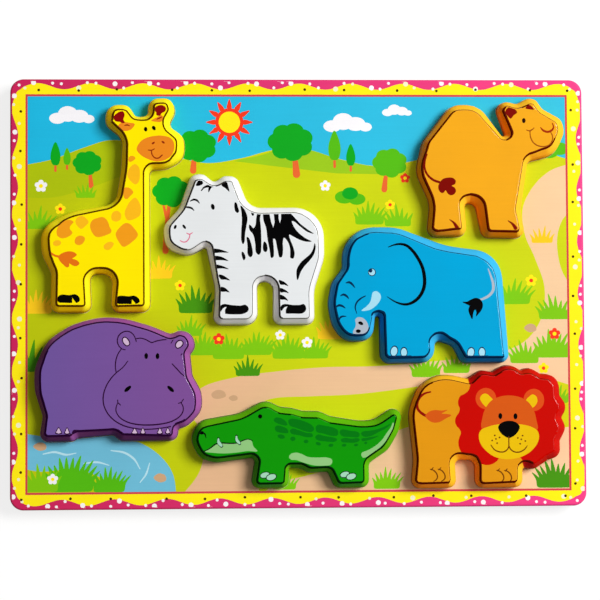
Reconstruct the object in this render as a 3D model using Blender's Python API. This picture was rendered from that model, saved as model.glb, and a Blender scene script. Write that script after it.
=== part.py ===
"""Wooden chunky puzzle: a two-layer board with seven animal blocks that lift out of their recesses.

Units are metres and +Z is up. The origin is the middle of the board's underside, +X runs along the
board's long side and +Y runs up the picture. The board is a thin back panel with a thicker frame
board on it. The frame board is sawn through in the outline of each animal, so that each block stands
in its own recess on the back panel and its round upper edge stays proud for small fingers.
"""

import math

import bmesh
import bpy
from mathutils import Matrix, Vector

# Driving dimensions, in metres
DRAWING_UNIT = 0.001        # one unit of the animals' drawn outlines
END_MARGIN = 0.0108         # board past the outermost animal, at its left and right ends
SIDE_MARGIN = 0.010         # board past the outermost animal, along its long sides
BOARD_CORNER = 0.007        # radius of the board's four corners
BACK_THICKNESS = 0.003      # plywood back panel
FRAME_THICKNESS = 0.0087    # frame board, which is the depth of the recesses too
GLUE_LINE = 0.0003          # between the back panel and the frame board
SEAT_GAP = 0.0003           # between the back panel and a block that stands on it
BLOCK_THICKNESS = 0.0187    # a whole block, from its underside to its printed face
RECESS_CLEARANCE = 0.0004   # all round a block in its recess
ROUND_OVER = 0.003          # radius worked round a block's upper and lower edges
FACE_LEDGE = 0.0002         # flat left between the round-over and the raised printed face
FACE_STEP = 0.0008          # height of the printed face above that ledge
FACE_ROOT = 0.001           # how far the face's own solid reaches down into the block

# How finely the arcs are drawn
ARC_TOLERANCE = 0.00015     # an arc's flats stay this close to the true arc
ROUND_OVER_STEPS = 2        # Blender's bevel resolution on the round-over

# Heights of the layers, from the surface that the board lies on
FRAME_BASE = BACK_THICKNESS + GLUE_LINE
BLOCK_BASE = BACK_THICKNESS + SEAT_GAP
BLOCK_TOP = BLOCK_BASE + BLOCK_THICKNESS

# Paint and ink colours, as red, green and blue values from 0 to 1
BARE_PLYWOOD = (0.72, 0.52, 0.31)
MEADOW_PRINT = (0.53, 0.63, 0.02)

# The blocks. The lift point is where a block's straight way up starts, and each outline corner is
# x, y and the radius of its round. All are drawing units from the middle of the board, and the
# corners go round anticlockwise.
BLOCKS = {
    "giraffe": {
        "colour": (1.0, 0.78, 0.0),
        "lift_point": (-98.0, 45.0),
        "corners": (
            (-100.3, 97.8, 6.3), (-100.2, 87.6, 4.5), (-91.5, 80.6, 8.0), (-92.2, 64.0, 40.0),
            (-95.0, 46.0, 8.0), (-118.0, 42.2, 30.0), (-134.2, 34.0, 12.0), (-133.2, 20.0, 14.0),
            (-128.3, 10.5, 8.0), (-128.7, -10.0, 4.2), (-107.9, -10.0, 4.2), (-108.8, 10.2, 4.2),
            (-96.6, 10.2, 5.5), (-97.4, -10.0, 4.2), (-77.6, -9.8, 4.2), (-77.8, 64.2, 3.0),
            (-68.5, 64.6, 12.0), (-59.8, 69.5, 8.0), (-59.6, 81.0, 7.0), (-68.0, 87.0, 3.5),
            (-64.0, 94.5, 6.0), (-66.5, 101.3, 5.0), (-77.8, 101.0, 5.0), (-78.3, 91.6, 3.0),
            (-84.8, 91.4, 3.2), (-88.6, 97.7, 5.0),
        ),
    },
    "zebra": {
        "colour": (0.80, 0.82, 0.84),
        "lift_point": (-24.0, 28.0),
        "corners": (
            (-55.9, 61.7, 5.0), (-62.0, 44.0, 12.0), (-70.3, 35.0, 7.0), (-69.8, 23.2, 8.5),
            (-57.5, 18.9, 10.0), (-48.2, 24.2, 1.5), (-43.5, 2.0, 20.0), (-44.8, -16.6, 4.2),
            (-22.0, -16.6, 6.0), (-22.3, 6.0, 4.0), (-13.3, 6.0, 4.8), (-13.6, -16.6, 4.2),
            (7.6, -16.6, 4.2), (7.4, 1.0, 20.0), (12.9, 18.0, 20.0), (12.6, 44.2, 15.5),
            (-26.0, 44.0, 9.0), (-32.6, 60.6, 5.0), (-39.2, 60.6, 4.2), (-44.1, 57.0, 3.0),
            (-49.5, 61.6, 5.0),
        ),
    },
    "elephant": {
        "colour": (0.0, 0.37, 0.80),
        "lift_point": (64.0, 4.0),
        "corners": (
            (22.5, 33.8, 16.5), (22.7, 12.6, 5.0), (17.0, 5.0, 10.0), (14.9, -6.0, 15.0),
            (17.2, -18.0, 15.0), (23.5, -25.6, 10.0), (37.8, -25.2, 7.0), (39.2, -12.6, 1.1),
            (41.7, -12.6, 1.1), (42.1, -37.1, 5.0), (69.8, -36.8, 7.0), (70.3, -24.6, 2.5),
            (80.0, -28.0, 6.0), (84.4, -37.0, 4.2), (109.2, -37.0, 4.2), (106.3, 4.0, 60.0),
            (104.7, 20.3, 16.0), (76.5, 24.0, 50.0), (50.5, 33.8, 25.0),
        ),
    },
    "camel": {
        "colour": (0.88, 0.42, 0.01),
        "lift_point": (90.0, 66.0),
        "corners": (
            (80.0, 98.0, 10.0), (65.0, 78.3, 10.0), (61.4, 63.0, 14.0), (68.9, 46.5, 15.0),
            (67.0, 28.9, 4.2), (87.6, 29.1, 4.2), (86.3, 46.6, 2.5), (92.5, 46.4, 4.0),
            (96.2, 28.6, 4.2), (118.6, 28.2, 4.2), (115.9, 42.0, 8.0), (119.8, 68.3, 4.0),
            (134.5, 71.8, 11.0), (139.6, 83.5, 8.0), (138.2, 90.2, 6.0), (127.8, 95.9, 6.0),
            (124.3, 101.3, 5.0), (119.8, 101.3, 5.0), (114.4, 98.2, 4.0), (110.0, 99.5, 5.0),
            (102.8, 99.1, 4.4), (108.8, 81.8, 1.3), (106.6, 81.2, 1.3), (95.8, 95.8, 12.0),
            (90.0, 97.9, 10.0),
        ),
    },
    "hippo": {
        "colour": (0.18, 0.08, 0.35),
        "lift_point": (-96.0, -44.0),
        "corners": (
            (-102.5, -12.2, 40.0), (-118.5, -16.5, 35.0), (-131.0, -25.0, 20.0),
            (-137.2, -39.0, 20.0), (-136.9, -50.5, 20.0), (-132.7, -63.5, 6.0),
            (-134.9, -76.7, 4.3), (-117.5, -76.5, 4.2), (-115.0, -74.9, 4.0), (-96.5, -73.2, 3.0),
            (-92.8, -76.4, 4.2), (-63.5, -76.4, 4.2), (-63.4, -70.4, 1.5), (-58.5, -69.2, 12.0),
            (-51.0, -61.0, 10.0), (-51.2, -51.5, 12.0), (-56.0, -43.0, 8.0), (-57.1, -31.8, 2.5),
            (-54.6, -29.0, 5.0), (-55.0, -20.1, 7.0), (-63.0, -19.8, 5.0), (-66.8, -21.7, 4.0),
            (-77.0, -17.4, 40.0), (-90.0, -13.6, 30.0),
        ),
    },
    "crocodile": {
        "colour": (0.01, 0.33, 0.01),
        "lift_point": (0.0, -76.0),
        "corners": (
            (-18.5, -55.8, 8.0), (-31.5, -62.8, 20.0), (-52.0, -66.2, 8.0), (-57.3, -75.2, 9.0),
            (-51.8, -86.0, 9.0), (-43.5, -88.0, 12.0), (-23.2, -85.2, 2.3), (-26.0, -101.4, 4.2),
            (-6.0, -101.3, 4.2), (-6.2, -90.7, 1.4), (0.0, -91.0, 6.0), (4.0, -93.4, 6.0),
            (14.2, -93.0, 2.0), (18.0, -101.4, 4.2), (35.5, -101.4, 4.2), (35.4, -88.8, 3.5),
            (45.5, -82.0, 12.0), (50.8, -73.0, 14.0), (53.4, -60.9, 4.2), (46.7, -61.0, 4.5),
            (38.0, -66.9, 12.0), (30.0, -67.0, 15.0), (15.5, -64.6, 6.0), (9.5, -61.9, 8.0),
            (1.2, -61.8, 4.0), (-4.5, -60.2, 8.0), (-10.5, -59.6, 6.0),
        ),
    },
    "lion": {
        "colour": (0.62, 0.0, 0.0),
        "lift_point": (94.0, -70.0),
        "corners": (
            (71.0, -43.0, 15.0), (61.5, -49.3, 14.0), (56.4, -62.5, 20.0), (59.0, -87.0, 25.0),
            (57.5, -102.0, 4.2), (80.9, -101.9, 4.2), (80.2, -87.5, 2.5), (91.0, -87.6, 4.0),
            (91.1, -102.0, 4.2), (115.4, -101.9, 4.2), (115.5, -91.2, 1.3), (120.5, -93.3, 6.0),
            (128.5, -88.0, 1.5), (135.3, -85.8, 5.0), (135.2, -77.8, 1.5), (138.7, -71.0, 6.0),
            (136.2, -65.8, 1.5), (139.4, -60.0, 6.0), (135.4, -54.2, 1.5), (134.8, -43.8, 7.0),
            (125.4, -43.0, 1.5), (119.6, -39.6, 6.0), (114.8, -41.2, 1.5), (108.8, -36.8, 9.0),
            (100.0, -42.0, 1.5), (94.0, -40.8, 6.0), (87.4, -45.4, 2.0), (80.0, -43.8, 20.0),
        ),
    },
}


def clear_scene():
    """Remove every object of the open scene."""
    for item in list(bpy.data.objects):
        bpy.data.objects.remove(item, do_unlink=True)


def new_collection(name):
    """Add a collection to the scene."""
    collection = bpy.data.collections.new(name)
    bpy.context.scene.collection.children.link(collection)
    return collection


def new_material(name, colour, roughness):
    """Make a painted or bare wood material."""
    material = bpy.data.materials.new(name)
    material.use_nodes = True
    material.diffuse_color = (*colour, 1.0)
    shader = material.node_tree.nodes["Principled BSDF"]
    shader.inputs["Base Color"].default_value = (*colour, 1.0)
    shader.inputs["Roughness"].default_value = roughness
    shader.inputs["Metallic"].default_value = 0.0
    return material


def corner_arc(before, corner, after, offset):
    """Points of the arc that rounds one corner, on an outline moved outwards by offset."""
    here = Vector(corner[:2]) * DRAWING_UNIT
    way_in = (here - Vector(before[:2]) * DRAWING_UNIT).normalized()
    way_out = (Vector(after[:2]) * DRAWING_UNIT - here).normalized()
    turn = math.atan2(way_in.cross(way_out), way_in.dot(way_out))
    side = math.copysign(1.0, turn)
    radius = corner[2] * DRAWING_UNIT
    inward = Vector((-way_in.y, way_in.x)) * side
    centre = here - way_in * radius * math.tan(abs(turn) / 2) + inward * radius
    arm = -inward * (radius + side * offset)
    step = 2 * math.acos(max(0.0, 1.0 - ARC_TOLERANCE / radius))
    count = max(1, math.ceil(abs(turn) / step))
    return [centre + Matrix.Rotation(turn * k / count, 2) @ arm for k in range(count + 1)]


def rounded_loop(corners, offset=0.0):
    """Points round a closed outline with rounded corners, moved outwards by offset.

    Two points closer than a tenth of the arcs' tolerance are one point.
    """
    points = []
    for index, corner in enumerate(corners):
        after = corners[(index + 1) % len(corners)]
        points += corner_arc(corners[index - 1], corner, after, offset)
    return [point for index, point in enumerate(points)
            if (point - points[index - 1]).length > ARC_TOLERANCE / 10]


def tightest_outward_radius(corners):
    """Smallest radius among the corners that stick out, which limits the round-over."""
    radii = []
    for index, (x, y, radius) in enumerate(corners):
        before = Vector(corners[index - 1][:2])
        after = Vector(corners[(index + 1) % len(corners)][:2])
        here = Vector((x, y))
        if (here - before).cross(after - here) > 0:
            radii.append(radius * DRAWING_UNIT)
    return min(radii)


def board_corners():
    """Corners of the board, which reaches its margins past the outermost animals."""
    points = [point for block in BLOCKS.values() for point in rounded_loop(block["corners"])]
    half_length = (max(abs(point.x) for point in points) + END_MARGIN) / DRAWING_UNIT
    half_width = (max(abs(point.y) for point in points) + SIDE_MARGIN) / DRAWING_UNIT
    radius = BOARD_CORNER / DRAWING_UNIT
    return ((-half_length, half_width, radius), (-half_length, -half_width, radius),
            (half_length, -half_width, radius), (half_length, half_width, radius))


def flat_curve(name, loops, thickness, centre):
    """A flat outline curve, filled and given its thickness about its centre."""
    curve = bpy.data.curves.new(name, "CURVE")
    curve.dimensions = "2D"
    curve.fill_mode = "BOTH"
    curve.extrude = thickness / 2
    for loop in loops:
        spline = curve.splines.new("POLY")
        spline.points.add(len(loop) - 1)
        for point, place in zip(spline.points, loop):
            point.co = (place.x - centre.x, place.y - centre.y, 0.0, 1.0)
        spline.use_cyclic_u = True
    item = bpy.data.objects.new(name, curve)
    item.location = centre
    return item


def solid_from(curve_object, name, collection):
    """Turn a curve object into a closed mesh object in the same place."""
    bpy.context.scene.collection.objects.link(curve_object)
    graph = bpy.context.evaluated_depsgraph_get()
    mesh = bpy.data.meshes.new_from_object(curve_object.evaluated_get(graph))
    mesh.name = name
    work = bmesh.new()
    work.from_mesh(mesh)
    bmesh.ops.remove_doubles(work, verts=work.verts, dist=ARC_TOLERANCE / 20)
    bmesh.ops.recalc_face_normals(work, faces=work.faces)
    work.to_mesh(mesh)
    work.free()
    item = bpy.data.objects.new(name, mesh)
    item.matrix_world = curve_object.matrix_world
    bpy.data.objects.remove(curve_object, do_unlink=True)
    collection.objects.link(item)
    return item


def set_finish(item, material):
    """Give a solid its one material, with smooth rounds and crisp edges."""
    item.data.materials.clear()
    item.data.materials.append(material)
    item.data.shade_smooth()
    item.data.set_sharp_from_angle(angle=math.radians(35))


def build_board(parts):
    """Make the back panel and the frame board with its seven through recesses."""
    outline = rounded_loop(board_corners())
    middle = Vector((0.0, 0.0, BACK_THICKNESS / 2))
    panel = solid_from(flat_curve("back_outline", [outline], BACK_THICKNESS, middle),
                       "back_panel", parts)
    set_finish(panel, new_material("bare_plywood", BARE_PLYWOOD, 0.6))

    recesses = [rounded_loop(block["corners"], RECESS_CLEARANCE) for block in BLOCKS.values()]
    middle = Vector((0.0, 0.0, FRAME_BASE + FRAME_THICKNESS / 2))
    frame = solid_from(flat_curve("frame_outline", [outline, *recesses], FRAME_THICKNESS, middle),
                       "frame_board", parts)
    set_finish(frame, new_material("printed_board", MEADOW_PRINT, 0.3))


def build_block(name, block, parts, cutters):
    """Make one animal: a slab with round edges, and the printed face raised on it by a small step.

    The round-over stays smaller than the outline's tightest corner, less the ledge on both sides of
    the step, so that the printed face keeps a round corner there too.
    """
    corners = block["corners"]
    round_over = min(ROUND_OVER, tightest_outward_radius(corners) - 2 * FACE_LEDGE)
    lift_x, lift_y = block["lift_point"]

    slab_height = BLOCK_THICKNESS - FACE_STEP
    centre = Vector((lift_x * DRAWING_UNIT, lift_y * DRAWING_UNIT, BLOCK_BASE + slab_height / 2))
    slab_curve = flat_curve(name + "_outline", [rounded_loop(corners)],
                            slab_height - 2 * round_over, centre)
    slab_curve.data.offset = -round_over
    slab_curve.data.bevel_depth = round_over
    slab_curve.data.bevel_resolution = ROUND_OVER_STEPS
    slab = solid_from(slab_curve, name, parts)

    face_height = FACE_STEP + FACE_ROOT
    centre = Vector((centre.x, centre.y, BLOCK_TOP - face_height / 2))
    face_loop = rounded_loop(corners, -round_over - FACE_LEDGE)
    face = solid_from(flat_curve(name + "_face_outline", [face_loop], face_height, centre),
                      name + "_face", cutters)
    face.hide_render = True
    face.display_type = "WIRE"

    union = slab.modifiers.new("raised_face", "BOOLEAN")
    union.operation = "UNION"
    union.solver = "EXACT"
    union.object = face
    set_finish(slab, new_material(name + "_paint", block["colour"], 0.35))


def main():
    """Build the puzzle."""
    clear_scene()
    parts = new_collection("wooden_animal_puzzle")
    cutters = new_collection("face_solids")
    build_board(parts)
    for name, block in BLOCKS.items():
        build_block(name, block, parts, cutters)


main()
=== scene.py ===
"""The looks of a wooden animal puzzle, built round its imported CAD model.

The board is a printed frame board glued on a thin plywood back panel, and seven thick animal blocks
stand in its recesses. Each CAD solid gives its outline; a finer piece drawn through the same outline
takes its place, carries the printed picture as separate areas of ink, and rides on the same body.

Sizes are in millimetres, and those of the studio and the camera in metres. The origin is the middle
of the board's underside, +X runs along the board's long side, +Y up the picture and +Z up.
"""

import logging
import math
from collections.abc import Callable, Sequence
from dataclasses import dataclass, field, replace
from enum import Enum
from functools import partial

import bpy
import numpy as np
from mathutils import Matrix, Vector
from mathutils.geometry import delaunay_2d_cdt, intersect_line_line_2d


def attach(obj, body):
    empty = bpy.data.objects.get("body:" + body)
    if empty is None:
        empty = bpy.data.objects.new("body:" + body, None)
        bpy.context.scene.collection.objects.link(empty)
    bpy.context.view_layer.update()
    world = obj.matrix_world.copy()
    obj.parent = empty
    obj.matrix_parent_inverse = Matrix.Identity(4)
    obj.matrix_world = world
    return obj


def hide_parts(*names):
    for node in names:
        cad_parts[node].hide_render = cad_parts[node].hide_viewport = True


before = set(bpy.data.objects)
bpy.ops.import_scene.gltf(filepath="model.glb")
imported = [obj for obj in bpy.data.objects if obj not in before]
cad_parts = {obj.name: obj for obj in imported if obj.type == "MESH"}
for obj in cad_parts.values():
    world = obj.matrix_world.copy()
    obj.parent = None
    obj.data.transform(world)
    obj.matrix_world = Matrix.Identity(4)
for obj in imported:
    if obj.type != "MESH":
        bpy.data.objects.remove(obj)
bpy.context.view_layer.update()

log = logging.getLogger("animal_puzzle")

Socket = bpy.types.NodeSocket
Steps = list[tuple[float, float]]  # how far in and how high each ring of a profile lies

MM = 0.001  # the scene is in metres
LEVEL_TOLERANCE = 0.02  # how far from a height a CAD vertex may lie and still be at it
MERGE = 0.001  # points closer than this are one when a face is divided among its inks
INK_SPREAD = 0.09  # how far ink creeps out of a drawn line on each side
PAINTED_SHADE_SIDE = (-0.85, -0.53, 0.0)  # the way a side faces, down and to the left away from the lamp, where shade is painted in
PAINTED_SHADE_REACH = 0.45  # how far a side is turned that way where that painted shade is at its deepest
SCATTER, OTHER_SCATTER = 0.618034, 0.754878  # steps that spread over 0 to 1 in no pattern

# Places of the Mix node's sockets Factor, A and B for colours, and its output and setting for them
FACTOR, A, B = 0, 6, 7
MIX = {"output": 2, "data_type": "RGBA"}


# Colours, shader nodes and objects

def linear(colour: str, share: float = 1.0) -> tuple[float, float, float, float]:
    """Turn an sRGB colour into the linear values that Blender's shaders take.

    Args:
        colour: the colour as "#RRGGBB".
        share: what its linear values are multiplied by, to make it darker or lighter.

    Returns:
        Red, green, blue and an alpha of 1.
    """
    parts = [int(colour[i:i + 2], 16) / 255 for i in (1, 3, 5)]
    parts = [c / 12.92 if c <= 0.04045 else ((c + 0.055) / 1.055) ** 2.4 for c in parts]
    return *(min(c * share, 1.0) for c in parts), 1.0


def add_node(tree: bpy.types.NodeTree, kind: str, inputs: dict | None = None,
             output: str | int = 0, **settings: object) -> Socket | None:
    """Add one shader node with its settings, values and links.

    Args:
        tree: the node tree of a material or the world.
        kind: Blender's name of the node without the leading "ShaderNode".
        inputs: for an input's name or place, its value or the output that feeds it.
        output: name or place of the output that is wanted.
        **settings: values of the node's own properties.

    Returns:
        That output, if the node has any.
    """
    made = tree.nodes.new("ShaderNode" + kind)
    for name, value in settings.items():
        setattr(made, name, value)
    for place, value in (inputs or {}).items():
        if isinstance(value, Socket):
            tree.links.new(value, made.inputs[place])
        else:
            made.inputs[place].default_value = value
    return made.outputs[output] if made.outputs else None


def add_object(name: str, data: bpy.types.ID) -> bpy.types.Object:
    """Make an object of a mesh, a lamp or a camera, and link it to the scene.

    Args:
        name: its name.
        data: what it shows.

    Returns:
        The object.
    """
    made = bpy.data.objects.new(name, data)
    bpy.context.scene.collection.objects.link(made)
    return made


# Finishes

@dataclass(frozen=True)
class Finish:
    """A real material and how its surface was made. Each subclass gives its own surface."""

    name: str  # the Blender material's name

    def surface(self, add: Callable[..., Socket], place: Socket) -> Socket:
        """The surface's shader, made with a function that adds nodes and the place on the object."""
        raise NotImplementedError

    def material(self) -> bpy.types.Material:
        """Make the Blender material, or find it when it is there already.

        Returns:
            The material.
        """
        known = bpy.data.materials.get(self.name)
        if known:
            return known
        material = bpy.data.materials.new(self.name)
        material.use_nodes = True
        material.node_tree.nodes.clear()
        add = partial(add_node, material.node_tree)
        add("OutputMaterial", {"Surface": self.surface(add, add("TexCoord", output="Object"))})
        return material


@dataclass(frozen=True)
class CoatingLook:
    """What a way of coating gives the eye."""

    roughness: float  # of the colour coat, under the clear one
    shine: float  # how strongly the colour coat reflects, as the shader's specular level
    coat: float  # weight of the clear coat
    coat_roughness: float
    peel: float  # size of the orange peel's ripples
    peel_depth: float  # height of those ripples
    grain_depth: float  # height of the wood grain that still shows through
    drift: float  # how much lighter and darker the colour is from place to place


class Coating(Enum):
    """How a coloured coat was put on: orange peel, gloss and grain show in it to match."""

    # A flat print on the planed face, under a clear gloss coat
    SCREEN_PRINTED = CoatingLook(0.40, 0.03, 0.02, 0.12, 2.6, 0.012, 0.006, 0.040)
    # The large picture on the board, under a satin coat
    BOARD_PRINTED = CoatingLook(0.46, 0.07, 0.03, 0.18, 3.2, 0.010, 0.008, 0.045)
    # The thick gloss paint on the rounded edges
    SPRAYED = CoatingLook(0.34, 0.02, 0.04, 0.14, 1.9, 0.015, 0.006, 0.050)
    # Clear gloss that pooled on the rounded rim of a face
    POOLED = CoatingLook(0.30, 0.10, 0.80, 0.06, 1.2, 0.010, 0.003, 0.040)
    # Ink that sank in, dead matt, on the step round a face
    SUNK = CoatingLook(0.80, 0.00, 0.00, 0.40, 2.6, 0.012, 0.006, 0.040)


@dataclass(frozen=True)
class Lacquer(Finish):
    """Pigmented nitrocellulose lacquer on sanded wood, printed or sprayed, with a clear coat on top.

    To the eye it is an even, bright colour with a soft ripple in its reflections. Under raking light
    the wood's grain telegraphs through as fine lines along X, and the colour drifts a little where
    the coat is thicker or thinner.
    """

    colour: str  # sRGB colour as "#RRGGBB"
    far_colour: str = ""  # what it turns into towards the right, if anything; it is darker to the left
    fade_from: float = -140.0  # where along X it begins to fade
    fade_to: float = 140.0  # where along X it is faded
    painted_shade_colour: str = ""  # painted shade: a deeper, warmer colour on sides facing away from the lamp, if any
    coating: Coating = Coating.SCREEN_PRINTED

    def surface(self, add: Callable[..., Socket], place: Socket) -> Socket:
        """Lay a drifting colour, the grain's lines in it, and ripples under the clear coat.

        Args:
            add: adds a node to the tree.
            place: the place on the object.

        Returns:
            The shader.
        """
        look = self.coating.value
        # Thickness of the coat, in patches about 25 mm across
        patches = add("TexNoise", {"Vector": place, "Scale": 1 / (25 * MM), "Detail": 3.0})
        # Grain of rotary-cut veneer: lines 0.9 mm apart and 30 mm long, along X
        along = add("Mapping", {"Vector": place, "Scale": [1 / (s * MM) for s in (30, 0.9, 0.9)]})
        grain = add("TexNoise", {"Vector": along, "Scale": 1.0, "Detail": 4.0, "Roughness": 0.6})
        peel = add("TexNoise", {"Vector": place, "Scale": 1 / (look.peel * MM), "Detail": 1.5})
        fades = []
        if self.far_colour:
            across = add("SeparateXYZ", {0: place}, "X")
            fades.append((self.far_colour, across, self.fade_from * MM, self.fade_to * MM))
        # Painted shade: the colour deepens on sides that face away from the lamp, down and to the left
        if self.painted_shade_colour:
            normal = add("TexCoord", output="Normal")
            facing = add("VectorMath", {0: normal, 1: PAINTED_SHADE_SIDE}, "Value", operation="DOT_PRODUCT")
            fades.append((self.painted_shade_colour, facing, 0.0, PAINTED_SHADE_REACH))
        shares = 1 - 2 * look.drift, 1 + look.drift
        coats = [linear(self.colour, share) for share in shares]
        for colour, value, start, end in fades:
            fade = add("MapRange", {"Value": value, "From Min": start, "From Max": end})
            coats = [add("Mix", {FACTOR: fade, A: coat, B: linear(colour, share)}, **MIX)
                     for coat, share in zip(coats, shares)]
        drifting = add("Mix", {FACTOR: patches, A: coats[0], B: coats[1]}, **MIX)
        lines = add("MapRange", {"Value": grain, "From Min": 0.35, "From Max": 0.7, "To Max": look.drift})
        coloured = add("Mix", {FACTOR: lines, A: drifting, B: linear(self.colour, 0.35)}, **MIX)
        # The clear coat is a little duller where it sank in
        dull = add("MapRange", {"Value": patches, "From Min": 0.3, "From Max": 0.7,
            "To Min": look.roughness + 0.05, "To Max": look.roughness - 0.05})
        ripple = add("Bump", {"Height": peel, "Distance": look.peel_depth * MM})
        relief = add("Bump", {"Height": grain, "Distance": look.grain_depth * MM, "Normal": ripple})
        return add("BsdfPrincipled", {"Base Color": coloured, "Roughness": dull, "IOR": 1.5,
            "Specular IOR Level": look.shine, "Coat Weight": look.coat,
            "Coat Roughness": look.coat_roughness, "Normal": relief, "Coat Normal": ripple})


@dataclass(frozen=True)
class BoardPrint(Lacquer):
    """Lacquer of the large picture and its border, under a satin coat."""

    coating: Coating = Coating.BOARD_PRINTED


@dataclass(frozen=True)
class EdgePaint(Lacquer):
    """Gloss lacquer sprayed on a block's sides and rounded edges, with painted shade on sides away from the
    lamp.
    """

    coating: Coating = Coating.SPRAYED


@dataclass(frozen=True)
class PlywoodFace(Finish):
    """Rotary-cut poplar veneer, sanded and left bare.

    To the eye it is a pale, dry, silky wood with long darker growth lines that wander along X, and
    short fine pores.
    """

    name: str = "bare_poplar_veneer"
    early: str = "#E7D0A6"  # colour of the soft early wood
    late: str = "#C9A470"  # colour of the denser growth lines

    def surface(self, add: Callable[..., Socket], place: Socket) -> Socket:
        """Draw the growth lines and the pores.

        Args:
            add: adds a node to the tree.
            place: the place on the object.

        Returns:
            The shader.
        """
        # Growth lines 7 mm apart that wander over 160 mm
        broad = add("Mapping", {"Vector": place, "Scale": [1 / (s * MM) for s in (160, 14, 14)]})
        figure = add("TexNoise", {"Vector": broad, "Scale": 1.0, "Detail": 3.0, "Distortion": 0.6})
        waves = add("Math", {0: figure, 1: 9.0}, operation="MULTIPLY")
        lines = add("Math", {0: waves}, operation="FRACT")
        soft = add("MapRange", {"Value": lines, "To Max": 0.55}, interpolation_type="SMOOTHSTEP")
        figured = add("Mix", {FACTOR: soft, A: linear(self.early), B: linear(self.late)}, **MIX)
        # Pores 0.25 mm wide and 6 mm long
        narrow = add("Mapping", {"Vector": place, "Scale": [1 / (s * MM) for s in (6, 0.25, 0.25)]})
        pores = add("TexNoise", {"Vector": narrow, "Scale": 1.0, "Detail": 2.0})
        fleck = add("MapRange", {"Value": pores, "From Min": 0.56, "From Max": 0.72, "To Max": 0.45})
        coloured = add("Mix", {FACTOR: fleck, A: figured, B: linear(self.late, 0.55)}, **MIX)
        relief = add("Bump", {"Height": pores, "Distance": 0.03 * MM})
        worn = add("MapRange", {"Value": figure, "To Min": 0.62, "To Max": 0.78})
        return add("BsdfPrincipled", {"Base Color": coloured, "Roughness": worn, "IOR": 1.5,
            "Specular IOR Level": 0.35, "Normal": relief})


@dataclass(frozen=True)
class PlywoodEdge(Finish):
    """The sawn edge of plywood: long-grain and end-grain plies by turns, with thin glue lines.

    To the eye it is pale and darker stripes that run level round the edge, fuzzy where the saw tore
    the end grain, with a few scorched places.
    """

    name: str = "sawn_plywood_edge"
    ply: float = 1.5  # thickness of one ply
    pale: str = "#EBD3A8"  # colour of a ply cut along its grain
    dark: str = "#CDA876"  # colour of a ply cut across its grain
    glue: str = "#8C6238"  # colour of the glue lines

    def surface(self, add: Callable[..., Socket], place: Socket) -> Socket:
        """Draw the plies by height, and the torn fibres.

        Args:
            add: adds a node to the tree.
            place: the place on the object.

        Returns:
            The shader.
        """
        wander = add("TexNoise", {"Vector": place, "Scale": 1 / (18 * MM), "Detail": 2.0})
        height = add("SeparateXYZ", {0: place}, "Z")
        # Two plies make one stripe pattern; the plies wander by up to a tenth of their thickness
        plies = add("Math", {0: height, 1: 1 / (2 * self.ply * MM), 2: 0.0}, operation="MULTIPLY_ADD")
        shifted = add("Math", {0: wander, 1: 0.1, 2: plies}, operation="MULTIPLY_ADD")
        share = add("Math", {0: shifted}, operation="FRACT")
        stripes = add("ValToRGB", {0: share}, "Color")
        ramp = stripes.node.color_ramp
        ramp.elements[0].color = linear(self.glue)
        ramp.elements[1].position = 0.03
        ramp.elements[1].color = linear(self.pale)
        for position, colour in ((0.47, self.pale), (0.50, self.glue), (0.53, self.dark),
                                 (0.97, self.dark), (1.0, self.glue)):
            ramp.elements.new(position).color = linear(colour)
        # Torn fibres 0.3 mm wide and 2 mm long
        torn = add("Mapping", {"Vector": place, "Scale": [1 / (s * MM) for s in (2, 2, 0.3)]})
        fibres = add("TexNoise", {"Vector": torn, "Scale": 1.0, "Detail": 4.0})
        shade = add("MapRange", {"Value": fibres, "From Min": 0.45, "From Max": 0.75, "To Max": 0.5})
        coloured = add("Mix", {FACTOR: shade, A: stripes, B: linear(self.dark, 0.55)}, **MIX)
        relief = add("Bump", {"Height": fibres, "Distance": 0.08 * MM})
        worn = add("MapRange", {"Value": fibres, "To Min": 0.7, "To Max": 0.9})
        return add("BsdfPrincipled", {"Base Color": coloured, "Roughness": worn, "IOR": 1.5,
            "Specular IOR Level": 0.3, "Normal": relief})


BARE_FACE = PlywoodFace()
SAWN_EDGE = PlywoodEdge()
BLACK = Lacquer("black_print", "#010102")


# Drawing in the plane

def leftward(ways: np.ndarray) -> np.ndarray:
    """For each way, the direction of length 1 to its left."""
    return np.stack([-ways[:, 1], ways[:, 0]], 1) / np.linalg.norm(ways, axis=1)[:, None]


def cubic(start: np.ndarray, start_way: np.ndarray, end: np.ndarray, end_way: np.ndarray,
          count: int) -> np.ndarray:
    """Points of a cubic curve from its start up to its end, which it reaches in this many steps."""
    t = np.arange(count)[:, None] / count
    return ((2 * t**3 - 3 * t**2 + 1) * start + (t**3 - 2 * t**2 + t) * start_way
            + (3 * t**2 - 2 * t**3) * end + (t**3 - t**2) * end_way)


def eased(numbers: Sequence[float], closed: bool, spacing: float = 0.7) -> np.ndarray:
    """Draw a smooth curve through points, with no overshoot where they are unevenly spaced.

    Args:
        numbers: the points that it passes through, as x, y, x, y.
        closed: whether it comes back to its first point.
        spacing: about how far apart the new points are.

    Returns:
        Points along the curve.
    """
    points = np.reshape(np.array(numbers, float), (-1, 2))
    if closed:
        ends = points[-1:], points[:2]
    else:
        ends = 2 * points[:1] - points[1:2], 2 * points[-1:] - points[-2:-1]
    row = np.concatenate([ends[0], points, ends[1]])
    gaps = np.sqrt(np.linalg.norm(np.diff(row, axis=0), axis=1)).clip(1e-4)
    slopes = np.diff(row, axis=0) / gaps[:, None]
    mixed = slopes[1:] + slopes[:-1] - (row[2:] - row[:-2]) / (gaps[1:] + gaps[:-1])[:, None]
    made = []
    for i in range(len(points) if closed else len(points) - 1):
        start, end, gap = row[i + 1], row[i + 2], gaps[i + 1]
        count = int(min(max(np.linalg.norm(end - start) / spacing, 2), 40))
        made.append(cubic(start, gap * mixed[i], end, gap * mixed[i + 1], count))
    return np.concatenate(made if closed else [*made, points[-1:]])


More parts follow.
